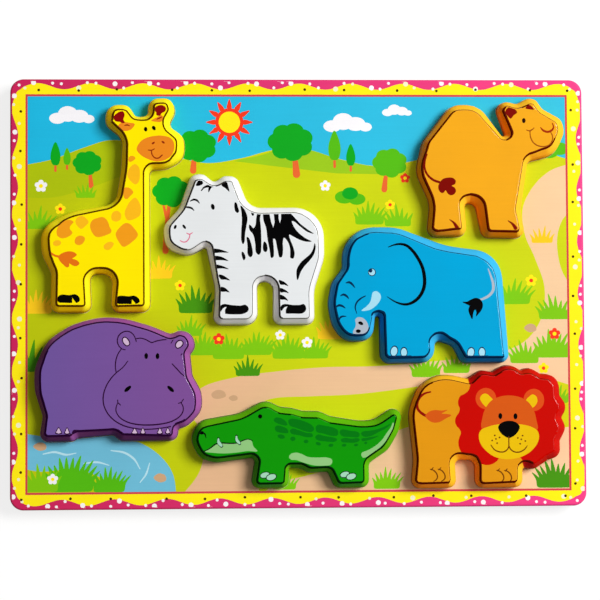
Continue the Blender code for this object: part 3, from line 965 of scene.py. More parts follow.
@dataclass
class Zebra(AnimalBlock):
    """The zebra: white, with black stripes, a pink smile and black hooves."""

    node: str = "zebra"
    rim: Lacquer = EdgePaint("zebra_edge_paint", "#F1F0F2", painted_shade_colour="#E9E6F2")
    line: Lacquer = Lacquer("zebra_line_print", "#3A3634")
    ground: Lacquer = Lacquer("zebra_white_print", "#E0E4E7")
    smile: Lacquer = Lacquer("zebra_smile_print", "#D86A8A")
    line_width: float = 0.6
    slip_and_shade: tuple[float, float] = (0.36, 0.02)
    rims: tuple[float, ...] = (-70.5, 32, 2.6, -61, 46, 2.5, -57, 58, 2.9, -52, 62, 3.2, -44, 58, 2.5,
        -37, 60.5, 3.1, -30, 53, 3.7, -22, 44, 3.2, -5, 44, 2.9, 7, 41, 3.5, 12.5, 28, 3.2, 10, 12, 2.8,
        7, -5, 2.8, 4, -16.5, 2.7, -10, -16.5, 2.7, -14, -6, 2.4, -14, 2, 2.1, -19, 6, 2.3, -23, -2, 2.2,
        -27, -15.5, 2.6, -40, -16.5, 2.6, -44, -5, 1.9, -45.5, 10, 1.6, -49, 23, 2.5, -58, 20, 1.9,
        -68, 23.5, 2.6)
    # Head, mane, stripes, tail and hooves
    drawing: tuple[Mark, ...] = (
        patch(BLACK, -53.6, 55.1, -52.5, 57.5, -51.2, 58.3, -49.8, 56.4, -51.5, 55.1),
        patch(BLACK, -40.4, 55.3, -39.1, 57.8, -37.6, 57, -36.8, 54.4, -36.3, 51.9, -38.3, 53.7),
        brush(BLACK, (0.3, 0.8, 1.3, 0.7), -50.8, 52.5, -49.4, 54.1, -47.4, 54.8, -45, 54.7),
        brush(BLACK, (1.3, 1, 0.3), -46, 54.6, -46.6, 53.4, -47, 51.9),
        brush(BLACK, (0.25, 0.9, 0.9, 0.2), -56.6, 47, -54.7, 47.9, -53, 47.4, -51.8, 46),
        brush(BLACK, (0.5, 0.9, 0.8, 0.2), -59.2, 43.9, -57.6, 43.9, -56, 43.5, -54.6, 42.2),
        spot(BLACK, -44.9, 44.1, 0.95, 1.55, 14),
        spot(BLACK, -64.3, 33.7, 0.65, 1.15, -25), spot(BLACK, -59.7, 33.8, 0.65, 1.3, 36),
        brush(smile, (0.3, 0.45, 0.4, 0.35), -61.8, 26.7, -60.4, 25.9, -58.7, 26.1, -57.3, 27.6,
            -56.7, 29.9),
        brush(smile, (0.3, 0.4, 0.3), -58.4, 30.5, -57, 29.9, -55.5, 30.7),
        patch(BLACK, -33.5, 46.4, -32.7, 46.2, -31.8, 43.6, -31.3, 41.7, -32.1, 40.9, -33.2, 41.6,
            -33.8, 44),
        patch(BLACK, -30.5, 44.7, -28.6, 42.8, -27, 38.4, -27.5, 34.4, -28.3, 30, -28.6, 26, -29.4, 24.6,
            -30.2, 26.4, -30.3, 31, -29.9, 37, -30.1, 41),
        patch(BLACK, -25.1, 41.9, -23.5, 41.7, -23.9, 39.5, -24.6, 39.5),
        patch(BLACK, -27.4, 28.5, -26.3, 27.9, -24.5, 22, -24.5, 19, -25.6, 17.9, -26.9, 19.2, -27.1, 24),
        patch(BLACK, -21.6, 41.2, -20.1, 41.1, -20.5, 38, -20.1, 33, -19.9, 26, -20.3, 20.2, -21.2, 19.1,
            -22.7, 20.4, -23.1, 25, -24.1, 29.6, -26.1, 32.4, -26.1, 34.9, -25, 34.1, -24, 32.9,
            -22.9, 34.6, -22.5, 38),
        patch(BLACK, -18.5, 26.1, -17.5, 25.5, -16.7, 22, -17.6, 20.5, -18.9, 21.4, -19.1, 23.7),
        patch(BLACK, -30, 20.8, -29, 20.3, -28.1, 17.6, -29, 16.3, -30, 18.4),
        facet(BLACK, *curve(-19.1, 41.2, -18.7, 37, -17.4, 33, -16.8, 28, -15.7, 22, -14.8, 17.5, -13.7, 18,
            -13.5, 23, -13.7, 27.4, -12.9, 27.4, -11.6, 22, -10.5, 17.8, -9.3, 18.1, -8.7, 22, -8.8, 25.6,
            -8.2, 28, -6.5, 26.4, -5.2, 23, -5, 19.6, -4.9, 17.5, -3.4, 17.2, -2.7, 19.8, -3.5, 23.4,
            -4.9, 27, -5.5, 29.6, -3, 28.4, 0, 26.9, 3.4, 25.9, 6.2, 26.1, 3.6, 27.4, 0, 30, -2.6, 33,
            -4, 36.6, -2.6, 36.2, 0, 34, 4, 31, 7.2, 30.1, 4, 32.4, 0.6, 35, -2, 37.8, -4, 40, -5.6, 41.3),
            -9.6, 41.5, -9.7, 37.5, -10.3, 35.6, -10.9, 38, -10.8, 41.5, -13.5, 41.5, -13, 36, -13.7, 33.3,
            -14.7, 36, -15.9, 41.5),
        patch(BLACK, -45.4, 22.3, -42, 22.2, -39.2, 21.4, -36.8, 20.4, -40, 20.4, -43.4, 20.2, -44.7, 20),
        patch(BLACK, -44.4, 18.5, -41, 18.4, -38.8, 17.4, -36.9, 16.1, -40, 16.4, -43.2, 16.4, -43.8, 16.3),
        patch(BLACK, -43.6, 14.1, -41, 13.8, -38.8, 13, -36.8, 11.8, -40, 12.2, -42.4, 12.1, -43, 12),
        patch(BLACK, -42, 9, -39.6, 8.6, -37.8, 7.4, -36.1, 6, -38.6, 6.4, -41, 6.6),
        patch(BLACK, -40.9, 2.7, -38.8, 2.2, -37.4, 1, -36.4, -0.2, -38.4, 0.2, -40.8, 0.2),
        patch(BLACK, -11, 6.1, -8.6, 5.4, -7, 4.2, -6.1, 2.9, -8, 3.6, -10.2, 3.8),
        patch(BLACK, -10.4, 2, -8.4, 1.4, -6.8, 0.4, -5.8, -0.7, -8, -0.2, -10.1, -0.3),
        patch(BLACK, -10.3, -1.5, -8.4, -2.2, -7, -3.4, -6.2, -4.7, -8.2, -4, -10.2, -4),
        patch(BLACK, 7.7, 25.2, 8.2, 23.6, 7.3, 19.4, 5.1, 16.2, 2.5, 13.4, 0.5, 10.4, -0.9, 6.6, -1.4, 6,
            -1.9, 9, -1.5, 12, 0.3, 15, 2.9, 17.4, 5.3, 19.5, 6.8, 22),
        patch(BLACK, -41.6, -8.5, -41, -6.9, -39.4, -6.2, -35, -6.8, -30.6, -7, -28.2, -6.6, -26.6, -8.4,
            -27, -10, -29.4, -11.3, -33, -11.6, -38.4, -11.3, -40.6, -10.6),
        patch(ground, -40.9, -10.4, -39.6, -8.2, -38, -7.7, -38.8, -9.2, -38.9, -11.4, -40.4, -11.2),
        patch(BLACK, -10.3, -8.6, -9.6, -6.9, -7.8, -6.3, -4, -6.8, 0, -6.8, 1.8, -6.3, 3, -7.9, 2.9, -9.6,
            1.2, -11.1, -4, -11.3, -7.4, -11.2, -9.3, -10.4),
        patch(ground, -9.6, -10.3, -8.2, -8.1, -6.6, -7.6, -7.4, -9.1, -7.6, -11.3, -9, -11),
    )


@dataclass
class Elephant(AnimalBlock):
    """The elephant: blue, with a large drawn ear, a pale tusk and nails, and a black tail tuft."""

    node: str = "elephant"
    rim: Lacquer = EdgePaint("elephant_edge_paint", "#38B2E8", painted_shade_colour="#0A72B8")
    line: Lacquer = Lacquer("elephant_line_print", "#04294E")
    ground: Lacquer = Lacquer("elephant_blue_print", "#009FD3")
    pale: Lacquer = Lacquer("elephant_pale_print", "#A2D8EC")
    grey: Lacquer = Lacquer("elephant_grey_print", "#A9B4C2")
    slip_and_shade: tuple[float, float] = (0.37, 0.37)
    rims: tuple[float, ...] = (15, -5, 2.2, 18, 6, 2.2, 23, 13, 2, 25, 25, 2.3, 35, 33, 3, 50, 33, 3.3,
        65, 28, 3.9, 85, 23, 3.4, 101, 18, 4.2, 105.5, 0, 4, 107.5, -30, 3.4, 104, -36.5, 2.2,
        88, -36.5, 2.2, 80, -30, 1.8, 71, -26, 3.5, 69, -31, 2.7, 62, -36.5, 2.3, 50, -36.5, 2.2,
        42, -30, 1.8, 41.5, -15, 1.5, 39, -13, 2, 37.5, -20, 2.5, 30, -25, 2.3, 19, -20, 2.3)
    # Eye, trunk, tusk, ear and tail
    drawing: tuple[Mark, ...] = (
        spot(line, 37.3, 10, 2.05), spot(pale, 37.3, 10, 1.65), spot(line, 36.6, 10.8, 1),
        brush(line, (0.3, 1.1, 0.9, 0.2), 23.8, 4.5, 25.6, 4.8, 27, 3.8, 28.4, 2),
        brush(line, (0.3, 1.1, 0.9, 0.2), 20.9, -2.2, 22.4, -1.5, 23.9, -2.2, 25.2, -3.7),
        brush(line, (0.3, 1.1, 1, 0.2), 18.4, -8.2, 20, -7.1, 21.6, -7.4, 23.3, -8.5),
        brush(line, (0.3, 0.9, 0.7, 0.2), 20.1, -14.8, 20.8, -13.3, 22, -12.8, 23.7, -12.8),
        brush(line, (0.3, 0.7, 0.7, 0.5, 0.15), 33.8, -2.3, 31.4, -3.6, 29.2, -5.8, 28.5, -8.4,
            29.3, -11.4),
        patch(pale, 37.7, -0.4, 39.2, 0.2, 41.1, -0.8, 41.9, -2.8, 41.1, -5.2, 38.8, -7.8, 36, -9.5,
            31.7, -9.9, 34.6, -7.5, 36.4, -5.2, 37.1, -2.4),
        patch(grey, 28.5, -14.4, 30, -13.3, 32.4, -13.7, 34.5, -15.8, 35.3, -18.4, 34.7, -20.6, 32.6, -22.1,
            29.6, -22.5, 27.3, -21.7, 27.5, -20, 28.5, -18.4, 28.7, -16.4),
        patch(BLACK, 29.9, -16.1, 31, -15.4, 32.2, -16, 32.6, -17.2, 31.6, -17.4, 30.6, -17),
        spot(BLACK, 30, -20.5, 1.3, 0.95),
        brush(BLACK, (0.2, 0.8, 1.2, 1.4, 1.5, 1.5, 1.6, 1.7, 1.7, 1.6, 1.5, 1.3, 1, 0.6, 0.15),
            45.9, 23, 48.4, 24, 52, 24.6, 55.4, 23.8, 58.6, 21, 61.4, 17, 63.6, 12.4, 64.6, 7, 64.4, 2.4,
            62.6, -1.8, 59.8, -4.8, 56, -6.6, 52.4, -6.5, 48.6, -5, 45.1, -2.7),
        brush(grey, (0.3, 0.7, 1.1, 1.3, 1.2, 1.1, 0.8),
            97.9, 11.6, 99.2, 8, 100.4, 4, 100.4, 0.6, 98.6, -2, 95.6, -3.8, 92.8, -4.7),
        patch(BLACK, 84.2, -5.6, 86.8, -5.4, 89.2, -4.1, 91.4, -3.5, 93.7, -4.4, 94.9, -6.4, 94.6, -9,
            93, -11.4, 91.2, -13.2, 91.5, -11, 90.9, -9.6, 90, -11, 89.3, -14.6, 87.9, -12, 87.3, -9.4,
            87.9, -7.6, 86.4, -6.8),
    )

    def marks(self) -> list[Mark]:
        """Add the nails, on feet that stand on the line, which hides their lower ends.

        Returns:
            The marks, the last on top.
        """
        nails = ((48.5, -30.9, 2.05, 2.9, -12), (53.6, -31.5, 1.9, 2.75, 0), (88.4, -31.8, 2.05, 2.9, -14),
            (94.2, -31.7, 1.95, 2.8, 0))
        marks = super().marks()
        for x, y, wide, high, turn in nails:
            marks += [spot(self.line, x, y, wide, high, turn),
                spot(self.pale, x, y - 0.1, wide - 0.4, high - 0.5, turn)]
        marks += [facet(self.line, 45.5, -33.2, 57.5, -33.2, 57.5, -37, 45.5, -37),
            facet(self.line, 85.5, -33.4, 97.5, -33.4, 97.5, -37, 85.5, -37)]
        return marks


@dataclass
class Camel(AnimalBlock):
    """The camel: amber, with dark red ears, tail and toes and a drawn muzzle."""

    node: str = "camel"
    rim: Lacquer = EdgePaint("camel_edge_paint", "#FFC02A", painted_shade_colour="#F2820C")
    line: Lacquer = Lacquer("camel_line_print", "#5C1200")
    ground: Lacquer = Lacquer("camel_amber_print", "#E9A31B")
    dark_red: Lacquer = Lacquer("camel_dark_red_print", "#7A0600")
    brown: Lacquer = Lacquer("camel_brown_print", "#9A4E08")
    line_width: float = 0.85
    slip_and_shade: tuple[float, float] = (0.42, 0.42)
    bevel_slope: float = 46.0
    rims: tuple[float, ...] = (62, 65, 1.4, 66, 80, 2.2, 76, 93, 2.6, 87, 98, 3.2, 98, 93, 3.3,
        107, 82, 2.2, 105, 92, 1.5, 106, 99, 2.6, 114, 98.5, 2.8, 121, 101, 3.3, 130, 95, 3.3,
        138.5, 85, 3.8, 130, 71, 3.6, 121, 69, 2.8, 117, 50, 3.5, 117.5, 33, 3.1, 110, 28.5, 2.1,
        98, 29, 2.3, 94, 38, 2.4, 93, 43, 3.3, 89, 46.5, 3.4, 86.5, 38, 2.8, 84, 30, 3, 72, 29, 2,
        68, 35, 1.3, 67, 50, 0.9, 63.5, 57, 1)
    # Ears, face, tail and toes
    drawing: tuple[Mark, ...] = (
        patch(dark_red, 107.8, 94, 109.4, 95.9, 112, 95.6, 114, 93.3, 112, 91.7, 110.6, 90, 108.5, 92),
        patch(dark_red, 118.3, 95.5, 120, 97.3, 121.1, 97, 122.8, 94.8, 120.6, 94.9),
        spot(Lacquer("camel_eye_print", "#240602"), 117.4, 89, 0.95, 1.3),
        brush(brown, (0.3, 0.5, 0.5, 0.3), 118.8, 84.1, 120.4, 83.6, 121.6, 84.2, 122.8, 85.2),
        brush(brown, (0.4, 0.45, 0.5, 0.5, 0.5, 0.45, 0.3),
            120.6, 83.5, 120.8, 80.6, 122.2, 77.6, 124.6, 75.9, 127.4, 75.4, 130.2, 76, 132, 78,
            132.4, 80.8, 131.2, 83.5),
        brush(Lacquer("camel_nose_print", "#9C2C04"), (0.4, 0.9, 1, 0.9, 0.6, 0.3),
            126.2, 85.3, 127.6, 83.8, 129.8, 83.1, 132, 83.9, 133, 85.6, 132.4, 87.6),
        brush(dark_red, (0.5, 0.8, 0.9, 1, 1.1, 1.1),
            66.5, 71.4, 65.4, 68, 65.2, 64.4, 66.4, 61, 69.6, 58, 73.6, 56.5),
        patch(dark_red, 73.2, 56.8, 74.6, 58.4, 77.4, 59.2, 80.2, 58.9, 81.5, 57.2, 80.8, 55.6, 79.2, 55,
            80.8, 54, 81.5, 52.2, 80.4, 50.4, 78.6, 49.9, 77, 51, 76, 52.6, 75.2, 51.4, 73.9, 51.1,
            72.5, 52.6, 72.3, 55),
        brush(dark_red, (0.3, 0.8, 1.4, 1.8), 78.1, 37.2, 80, 35.8, 81.2, 34.2, 81.8, 33.2),
        brush(dark_red, (0.3, 0.8, 1.4, 1.8), 108.6, 36.6, 110.6, 35.2, 111.8, 33.8, 112.4, 32.8),
    )


@dataclass
class Hippo(AnimalBlock):
    """The hippopotamus: purple, with its head and muzzle drawn in fine dark lines."""

    node: str = "hippo"
    rim: Lacquer = EdgePaint("hippo_edge_paint", "#9A549E", painted_shade_colour="#5A2258")
    line: Lacquer = Lacquer("hippo_line_print", "#2C0A34")
    ground: Lacquer = Lacquer("hippo_purple_print", "#6C539B", far_colour="#7B4E95", fade_from=-135.0,
        fade_to=-60.0)
    pale: Lacquer = Lacquer("hippo_pale_print", "#CDB3CF")
    slip_and_shade: tuple[float, float] = (0.32, 0.32)
    ledge_width: float = 0.75
    rims: tuple[float, ...] = (-137.5, -40, 2.8, -130, -25, 2.3, -118, -17, 2.1, -105, -13, 2.1,
        -88, -14.5, 2.1, -73, -19, 2.1, -65, -21, 2.2, -57, -28, 2.9, -57, -35, 2.7, -52, -57, 2.9,
        -54, -65, 2.4, -64, -70, 2.5, -70, -76, 2.2, -85, -76, 2.3, -93, -75, 3, -99, -73, 2.4,
        -112, -74, 3.2, -120, -76, 2.6, -130, -76.5, 2.5, -134, -64, 2.1)
    fine = (0.35, 0.45, 0.45, 0.35)  # a fine line's width along its way
    # Ears, head, muzzle, eyes, nostrils and smile
    drawing: tuple[Mark, ...] = (
        brush(line, fine, -90.2, -29.5, -91.6, -29.2, -93.2, -27.8, -94.2, -25.2, -93.4, -22.2,
            -91.2, -20.4, -88.4, -20.1, -86.2, -21.5, -85, -23.6, -84.5, -25.3),
        patch(line, -91.9, -24.4, -91.2, -23, -89.8, -22.9, -88.2, -24.4, -87.5, -26.2, -88.2, -27.5,
            -89.6, -27.8, -91.2, -26.4),
        patch(pale, -91.3, -24.4, -90.8, -23.5, -89.9, -23.5, -88.7, -24.7, -88.1, -26.1, -88.5, -27,
            -89.4, -27.2, -90.8, -26),
        patch(line, -64.7, -27.6, -63.9, -25.4, -62, -24.5, -60.4, -25.4, -60.2, -26.9, -61.8, -28.7,
            -63.6, -29.2),
        patch(pale, -64.1, -27.5, -63.4, -25.9, -61.9, -25.1, -60.9, -25.7, -60.8, -26.7, -62.1, -28.2,
            -63.4, -28.6),
        brush(line, fine, -84.9, -24, -82.4, -23.6, -80, -24.2, -78, -25.2, -76.6, -25.9, -74.4, -25.2,
            -71.4, -24.6, -68.4, -24.3, -65.4, -24.2),
        brush(line, (0.3, 0.4), -66.6, -26.2, -65.2, -23.8),
        brush(line, (0.4, 0.3), -60, -30.8, -61.6, -32.4),
        brush(line, fine, -92.3, -29.3, -94, -32, -95, -35.4, -95.2, -38.6, -94.8, -41.2),
        brush(line, (0.3, 0.45, 0.5, 0.5, 0.5, 0.45, 0.4),
            -88.8, -35.4, -91.4, -38.6, -94.8, -41.4, -97.6, -44.4, -100, -48.4, -101.4, -53, -101.2, -57.6,
            -99.4, -61.8, -96.2, -65.4, -91.6, -68.2, -86, -69.8, -80, -70.4, -73, -70, -67, -69.1),
        brush(line, fine, -66.1, -36.9, -63.6, -39.6, -61.4, -42, -59.6, -43.4),
        spot(BLACK, -79.4, -32.8, 0.95, 1.55), spot(BLACK, -73.6, -32.9, 0.95, 1.55),
        spot(BLACK, -88.9, -49.6, 2.2, 0.95, 41), spot(BLACK, -66.9, -49.8, 2.2, 0.95, -43),
        brush(line, (0.35, 0.45, 0.55, 0.6, 0.55, 0.45, 0.35),
            -94.1, -55.3, -94, -56.6, -94.8, -58.8, -94.9, -61, -93.2, -64, -89.6, -66.4, -84.6, -67.8,
            -78.8, -68.2, -72.4, -67.8, -66.4, -66.4, -62.4, -64, -60.6, -61.2, -60.6, -58.8, -61.4, -56.8,
            -60.4, -55.2),
        brush(line, (0.4, 0.3), -94, -56.6, -92.6, -57.9),
        brush(line, (0.4, 0.3), -61.6, -56.8, -63, -57.2),
        facet(line, -117.3, -74, -117.2, -70.9, -116.2, -70.3, -106, -70.9, -97, -70.1, -94.6, -70,
            -93.7, -71.2, -93.6, -74),
    )

    def marks(self) -> list[Mark]:
        """Add the nails.

        Returns:
            The marks, the last on top.
        """
        nails = ((-124.2, -70.8, 1.75, 1.85), (-119.9, -70.9, 1.5, 1.85), (-85.4, -71.3, 1.75, 1.75),
            (-81.2, -71.2, 1.45, 1.75), (-72.5, -71.3, 1.6, 1.75), (-68.4, -71.2, 1.45, 1.75))
        marks = super().marks()
        for x, y, wide, high in nails:
            for ink, less in ((self.line, -0.05), (self.pale, 0.45)):
                marks.append(patch(ink, x - wide + less, y - high + 0.5 + less,
                    x - 0.75 * wide + less, y - 0.1 * high, x, y + high - less,
                    x + 0.75 * wide - less, y - 0.1 * high,
                    x + wide - less, y - high + 0.5 + less, x, y - high + less))
        return marks


@dataclass
class Crocodile(AnimalBlock):
    """The crocodile: green, with dark back scales, a pale mouth with two teeth and pale toes."""

    node: str = "crocodile"
    rim: Lacquer = EdgePaint("crocodile_edge_paint", "#5CB20C", painted_shade_colour="#2C8E0A")
    line: Lacquer = Lacquer("crocodile_line_print", "#032606")
    ground: Lacquer = Lacquer("crocodile_green_print", "#0E9306")
    scales: Lacquer = Lacquer("crocodile_scale_print", "#037410")
    pale: Lacquer = Lacquer("crocodile_pale_print", "#8CC27C")
    toe: Lacquer = Lacquer("crocodile_toe_print", "#A0D2B6")
    slip_and_shade: tuple[float, float] = (0.25, 0.25)
    rims: tuple[float, ...] = (-55, -70, 2.4, -49, -66, 3.2, -35, -63, 2.7, -19, -57, 2.5, -5, -60, 2.9,
        9, -62, 3, 29, -67, 2.6, 46, -61, 2.7, 50, -62, 2.7, 48, -77, 3.1, 38, -87, 2.8, 35, -95, 2.8,
        25, -101, 2.3, 14, -94, 2.1, 2, -92, 2.1, -5, -91, 1.8, -6, -96, 2.4, -16, -101, 2.3,
        -24.5, -95, 2.1, -26, -86, 1.9, -39, -87, 2.2, -53, -80, 2.2)
    # Eye, nostril, mouth, scales, belly and tail
    drawing: tuple[Mark, ...] = (
        spot(BLACK, -21, -64.2, 1.1), spot(BLACK, -51, -72.4, 1.1, 0.9, 15),
        brush(BLACK, (0.8, 0.6, 0.2), -50.6, -72.3, -49.4, -73.1, -48.9, -75),
        patch(pale, -49.6, -81.9, -46.6, -80.3, -43.6, -78.3, -41, -77.9, -37.4, -78.1, -33.4, -77.9,
            -30.4, -76.7, -27.4, -76, -25.4, -76.8, -24.6, -79.4, -22.5, -82, -25, -82.1, -27.4, -81.9,
            -32, -82.5, -38, -83, -44, -82.8),
        brush(line, (0.3, 0.55, 0.55, 0.5, 0.4, 0.2),
            -49.9, -81.9, -47, -80.5, -44, -78.3, -41, -77.7, -36.4, -77.9, -33, -77.7, -30, -76.5,
            -27, -75.8, -25, -76.6),
        patch(scales, -14, -66.4, -13.2, -64.9, -10.4, -65.1, -7.8, -66.8, -7, -68.8, -9, -68.8,
            -12.6, -67.6),
        patch(scales, -6.5, -66.5, -5.4, -65.5, -1.4, -65.9, 3.4, -67.5, 6, -69.2, 6.8, -71, 5.4, -72.4,
            2.4, -72, -2, -70.4, -5.8, -68.9),
        patch(scales, 7.6, -70, 8.6, -68.7, 12.4, -69.2, 17, -70.3, 19.1, -71.7, 18.9, -74.1, 16.4, -74.5,
            11.4, -73.2, 8.2, -72.4),
        patch(scales, 19.9, -72.3, 21, -71.2, 25.4, -71.8, 29.4, -72.5, 30.3, -73.6, 29.8, -75.1,
            25.4, -75.1, 20.9, -74.4),
        patch(scales, 30.9, -73.4, 32, -72.3, 35.4, -71.9, 39, -71.3, 43, -69.9, 46.8, -68.2, 44, -70.7,
            40, -72.7, 36, -74.7, 32.3, -74.9),
        patch(scales, -13.5, -70, -12.4, -68.9, -9.4, -69.5, -6.8, -71, -6.6, -72.7, -10, -72.7,
            -12.9, -71.8),
        patch(scales, -5.7, -71.6, -4.4, -70.5, -1.4, -71.3, 2.6, -72.7, 5.8, -73.3, 6.1, -74.7, 3.4, -75.1,
            -1, -74, -5, -73.1),
        patch(scales, 7.3, -75, 8.6, -73.7, 12.4, -74.5, 17, -75.3, 18.7, -76.2, 17.6, -77.4, 13, -77.3,
            8.2, -76.4),
        patch(scales, 20.5, -76.4, 22.4, -75.5, 26, -75.9, 29.6, -75.7, 30.4, -76.6, 29, -77.7, 24.6, -78,
            21, -77.5),
        patch(scales, 31.2, -76.1, 34, -75.5, 38, -74.9, 40.2, -74.5, 37.6, -75.9, 34, -77, 31.6, -77.2),
        *spots(scales, (-10.2, -74.6, 1.9, 1.1, -12), (-4.2, -75.8, 1.3, 1.15, 0),
            (2.6, -77.2, 1.2, 0.95, 0), (8.9, -78.4, 1.35, 0.85, -20), (15.4, -79.3, 1.3, 0.8, 8),
            (22.2, -79.3, 1.2, 0.75, 8), (28.4, -79.2, 1.1, 0.65, 8), (33.4, -78.2, 0.8, 0.65, 20)),
        patch(pale, -6.3, -85.2, -5.2, -83.5, -2.4, -82.9, 0.4, -83.7, 3.4, -85.1, 8, -85.5, 13, -85.5,
            15.7, -86.4, 16.1, -87.8, 15.2, -89.3, 12, -89.7, 6.4, -89.5, 1.4, -88.1, -2.6, -86.7,
            -5.2, -86.5),
        patch(pale, 31.1, -84.6, 31.3, -83.3, 34.6, -81.9, 38.4, -79.7, 41.8, -76.7, 44.2, -73.3,
            46.4, -70.3, 47.7, -67.7, 48.3, -69.4, 47, -72.4, 44.4, -76.5, 41, -80.3, 37, -83.5,
            33.6, -85.5, 32, -85.8),
    )

    def marks(self) -> list[Mark]:
        """Add the two teeth and the toes.

        Returns:
            The marks, the last on top.
        """
        marks = super().marks()
        for x, y, grow in ((-42.3, -77.2, 0), (-33, -76, -0.15)):
            for ink, less in ((self.line, 0), (self.toe, 0.42)):
                widths = (0.9 - less * 0.7, 1.6 - less + grow, 1.9 - less + grow, 1.5 - less * 1.2 + grow)
                marks.append(brush(ink, widths, x - 0.2, y + 2 - less, x - 0.1, y,
                    x + 1.4 - less * 0.2, y - 2.1 + less * 0.5))
        for x, y in ((-18.7, -94.3), (22.5, -94.3)):
            for across, down, grow in ((0, 0, 0), (3.3, -1.1, 0.15)):
                marks += [spot(self.line, x + across, y + down, 2.75 + grow, 1.75 + grow, 16),
                    spot(self.toe, x + across, y + down, 2.3 + grow, 1.3 + grow, 16)]
        return marks


@dataclass
class Lion(AnimalBlock):
    """The lion: an amber body and a red scalloped mane round a friendly face.

    Its edge paint is in two colours, as its face is: red round the mane and amber elsewhere.
    """

    node: str = "lion"
    rim: Lacquer = EdgePaint("lion_amber_edge_paint", "#FFBA24", painted_shade_colour="#FF8A0E")
    line: Lacquer = Lacquer("lion_line_print", "#520E00")
    ground: Lacquer = Lacquer("lion_amber_print", "#DB9212")
    mane: Lacquer = Lacquer("lion_mane_print", "#C20600")
    mane_rim: Lacquer = EdgePaint("lion_red_edge_paint", "#C4120A", painted_shade_colour="#9E0A06")
    skin: Lacquer = Lacquer("lion_face_print", "#CF5614")
    ear: Lacquer = Lacquer("lion_ear_print", "#D54C17")
    muzzle: Lacquer = Lacquer("lion_muzzle_print", "#E2B80A")
    brown: Lacquer = Lacquer("lion_brown_print", "#6E3A06")
    dark_red: Lacquer = Lacquer("lion_tail_print", "#8A0E04")
    line_width: float = 0.8
    slip_and_shade: tuple[float, float] = (0.35, 0.35)
    bevel_slope: float = 46.0
    rims: tuple[float, ...] = (57, -65, 1.1, 62, -50, 1.4, 75, -43, 2.3, 86, -45, 2.6, 93, -42, 1.9,
        110, -39, 1.9, 123, -42, 2.6, 135, -50, 3.5, 138, -62, 3.8, 138, -73, 3.8, 134, -85, 3.5,
        124, -91, 2.7, 115.5, -93, 3.3, 115, -99, 3.3, 107, -102, 2.2, 97, -102, 2.2, 91.5, -97, 1.3,
        91, -91, 1.4, 87, -88, 2.7, 81, -90, 3.6, 80.5, -99, 3.5, 74, -102, 2.4, 63, -102, 2.3,
        58, -95, 0.9, 58, -80, 1)
    mane_left: float = 87.2  # the edge paint is red to the right of this, above the belly
    belly: float = -84.0  # height of the belly's edge
    chest_right: float = 116.2  # below the belly, the edge paint is red to the right of this
    mane_right: float = 121.0  # no dark line to the right of this
    mane_top: float = -44.5  # and below this
    # Mane, ears, face and tail
    drawing: tuple[Mark, ...] = (
        facet(mane, *curve(88.2, -46, 87.9, -48.4, 87, -51.4, 84.9, -53.2, 82.6, -54.4, 81.5, -56.8,
            81.6, -59, 82.3, -60.6, 81.9, -62.8, 80.4, -65, 79.8, -67.4, 80.6, -69.8, 82.2, -71.6,
            82.8, -73.4, 82, -75.6, 81.4, -78.2, 81.8, -81, 83, -83.6, 84, -87),
            *curve(91.6, -88.4, 93.2, -89.4, 96.4, -90.1, 99.4, -89.4, 101.4, -88, 102.8, -86),
            108, -84, 113, -85.4, 115.2, -88.4, 117, -96, 145, -96, 145, -30, 88, -30),
        spot(ear, 96, -55.7, 5.4, 5.5), spot(ear, 121, -56.6, 5.4, 5.8),
        patch(muzzle, 92.9, -55.6, 94.1, -53.6, 96, -53.1, 98, -54.5, 99.8, -56.9, 98, -58.7, 96.6, -60.2,
            94.6, -58.7),
        patch(muzzle, 116.8, -56.9, 118.6, -54.8, 120.4, -53.7, 122.2, -54.6, 122.9, -57, 121.9, -59.3,
            119.9, -60.7, 118.3, -58.7),
        patch(skin, 93.8, -71.4, 94, -66, 95.6, -61, 98.6, -57, 102.8, -54.9, 108.2, -54.2, 114, -55.2,
            118.2, -57.8, 120.9, -62, 122.2, -67, 122.6, -72, 108, -77),
        patch(muzzle, 92.1, -75, 93.2, -72, 96.6, -70.4, 101.4, -69.2, 108, -68.9, 115, -69.3, 119.8, -70.6,
            122.7, -72.6, 123.5, -75.6, 122.4, -79.3, 119.4, -82.9, 115, -85.6, 110, -86.9, 105, -87,
            100, -85.7, 95.8, -82.7, 92.9, -78.8),
        patch(BLACK, 102.2, -70.5, 103.5, -68.6, 106.4, -67.4, 109.6, -67.4, 112.3, -68.6, 113.5, -70.5,
            112.2, -73.4, 109.8, -75.5, 107.7, -76.2, 105.4, -75.2, 103.1, -73),
        spot(BLACK, 103.4, -64.8, 1, 1.55), spot(BLACK, 111.3, -65, 1, 1.55),
        brush(brown, (0.45, 0.45), 107.7, -75.6, 107.7, -80.5),
        brush(brown, (0.3, 0.5, 0.5, 0.45), 98.3, -79.7, 100, -82, 102.4, -83.2, 105, -83.3, 107, -82,
            107.7, -80.4),
        brush(brown, (0.45, 0.5, 0.5, 0.3), 107.7, -80.4, 108.6, -82, 110.4, -83.3, 113, -83.5,
            115.6, -82.3, 117.3, -80.3),
        *spots(brown, (100.4, -74.8, 0.46), (101, -76.6, 0.46), (99, -77.4, 0.46), (102.9, -75.9, 0.46),
            (101.6, -78.8, 0.46), (114.9, -75, 0.46), (112.4, -76.2, 0.46), (114.2, -76.9, 0.46),
            (116.3, -77.8, 0.46), (113.6, -79.2, 0.46), count=12),
        brush(dark_red, (0.6, 0.9, 1.1, 1.2, 1.2, 1.3, 1.2),
            67.2, -52.1, 64, -53, 61.4, -55.2, 60.2, -58.2, 60.6, -61, 62.4, -63, 65.2, -64.7),
        patch(skin, 64.4, -64.4, 66.4, -62.3, 69.4, -61.5, 73, -61.8, 76, -61.4, 74.2, -62.6, 72.9, -63.3,
            76, -63.6, 78, -64.2, 75.2, -65.8, 72, -67.6, 69, -68, 66.4, -67),
    )

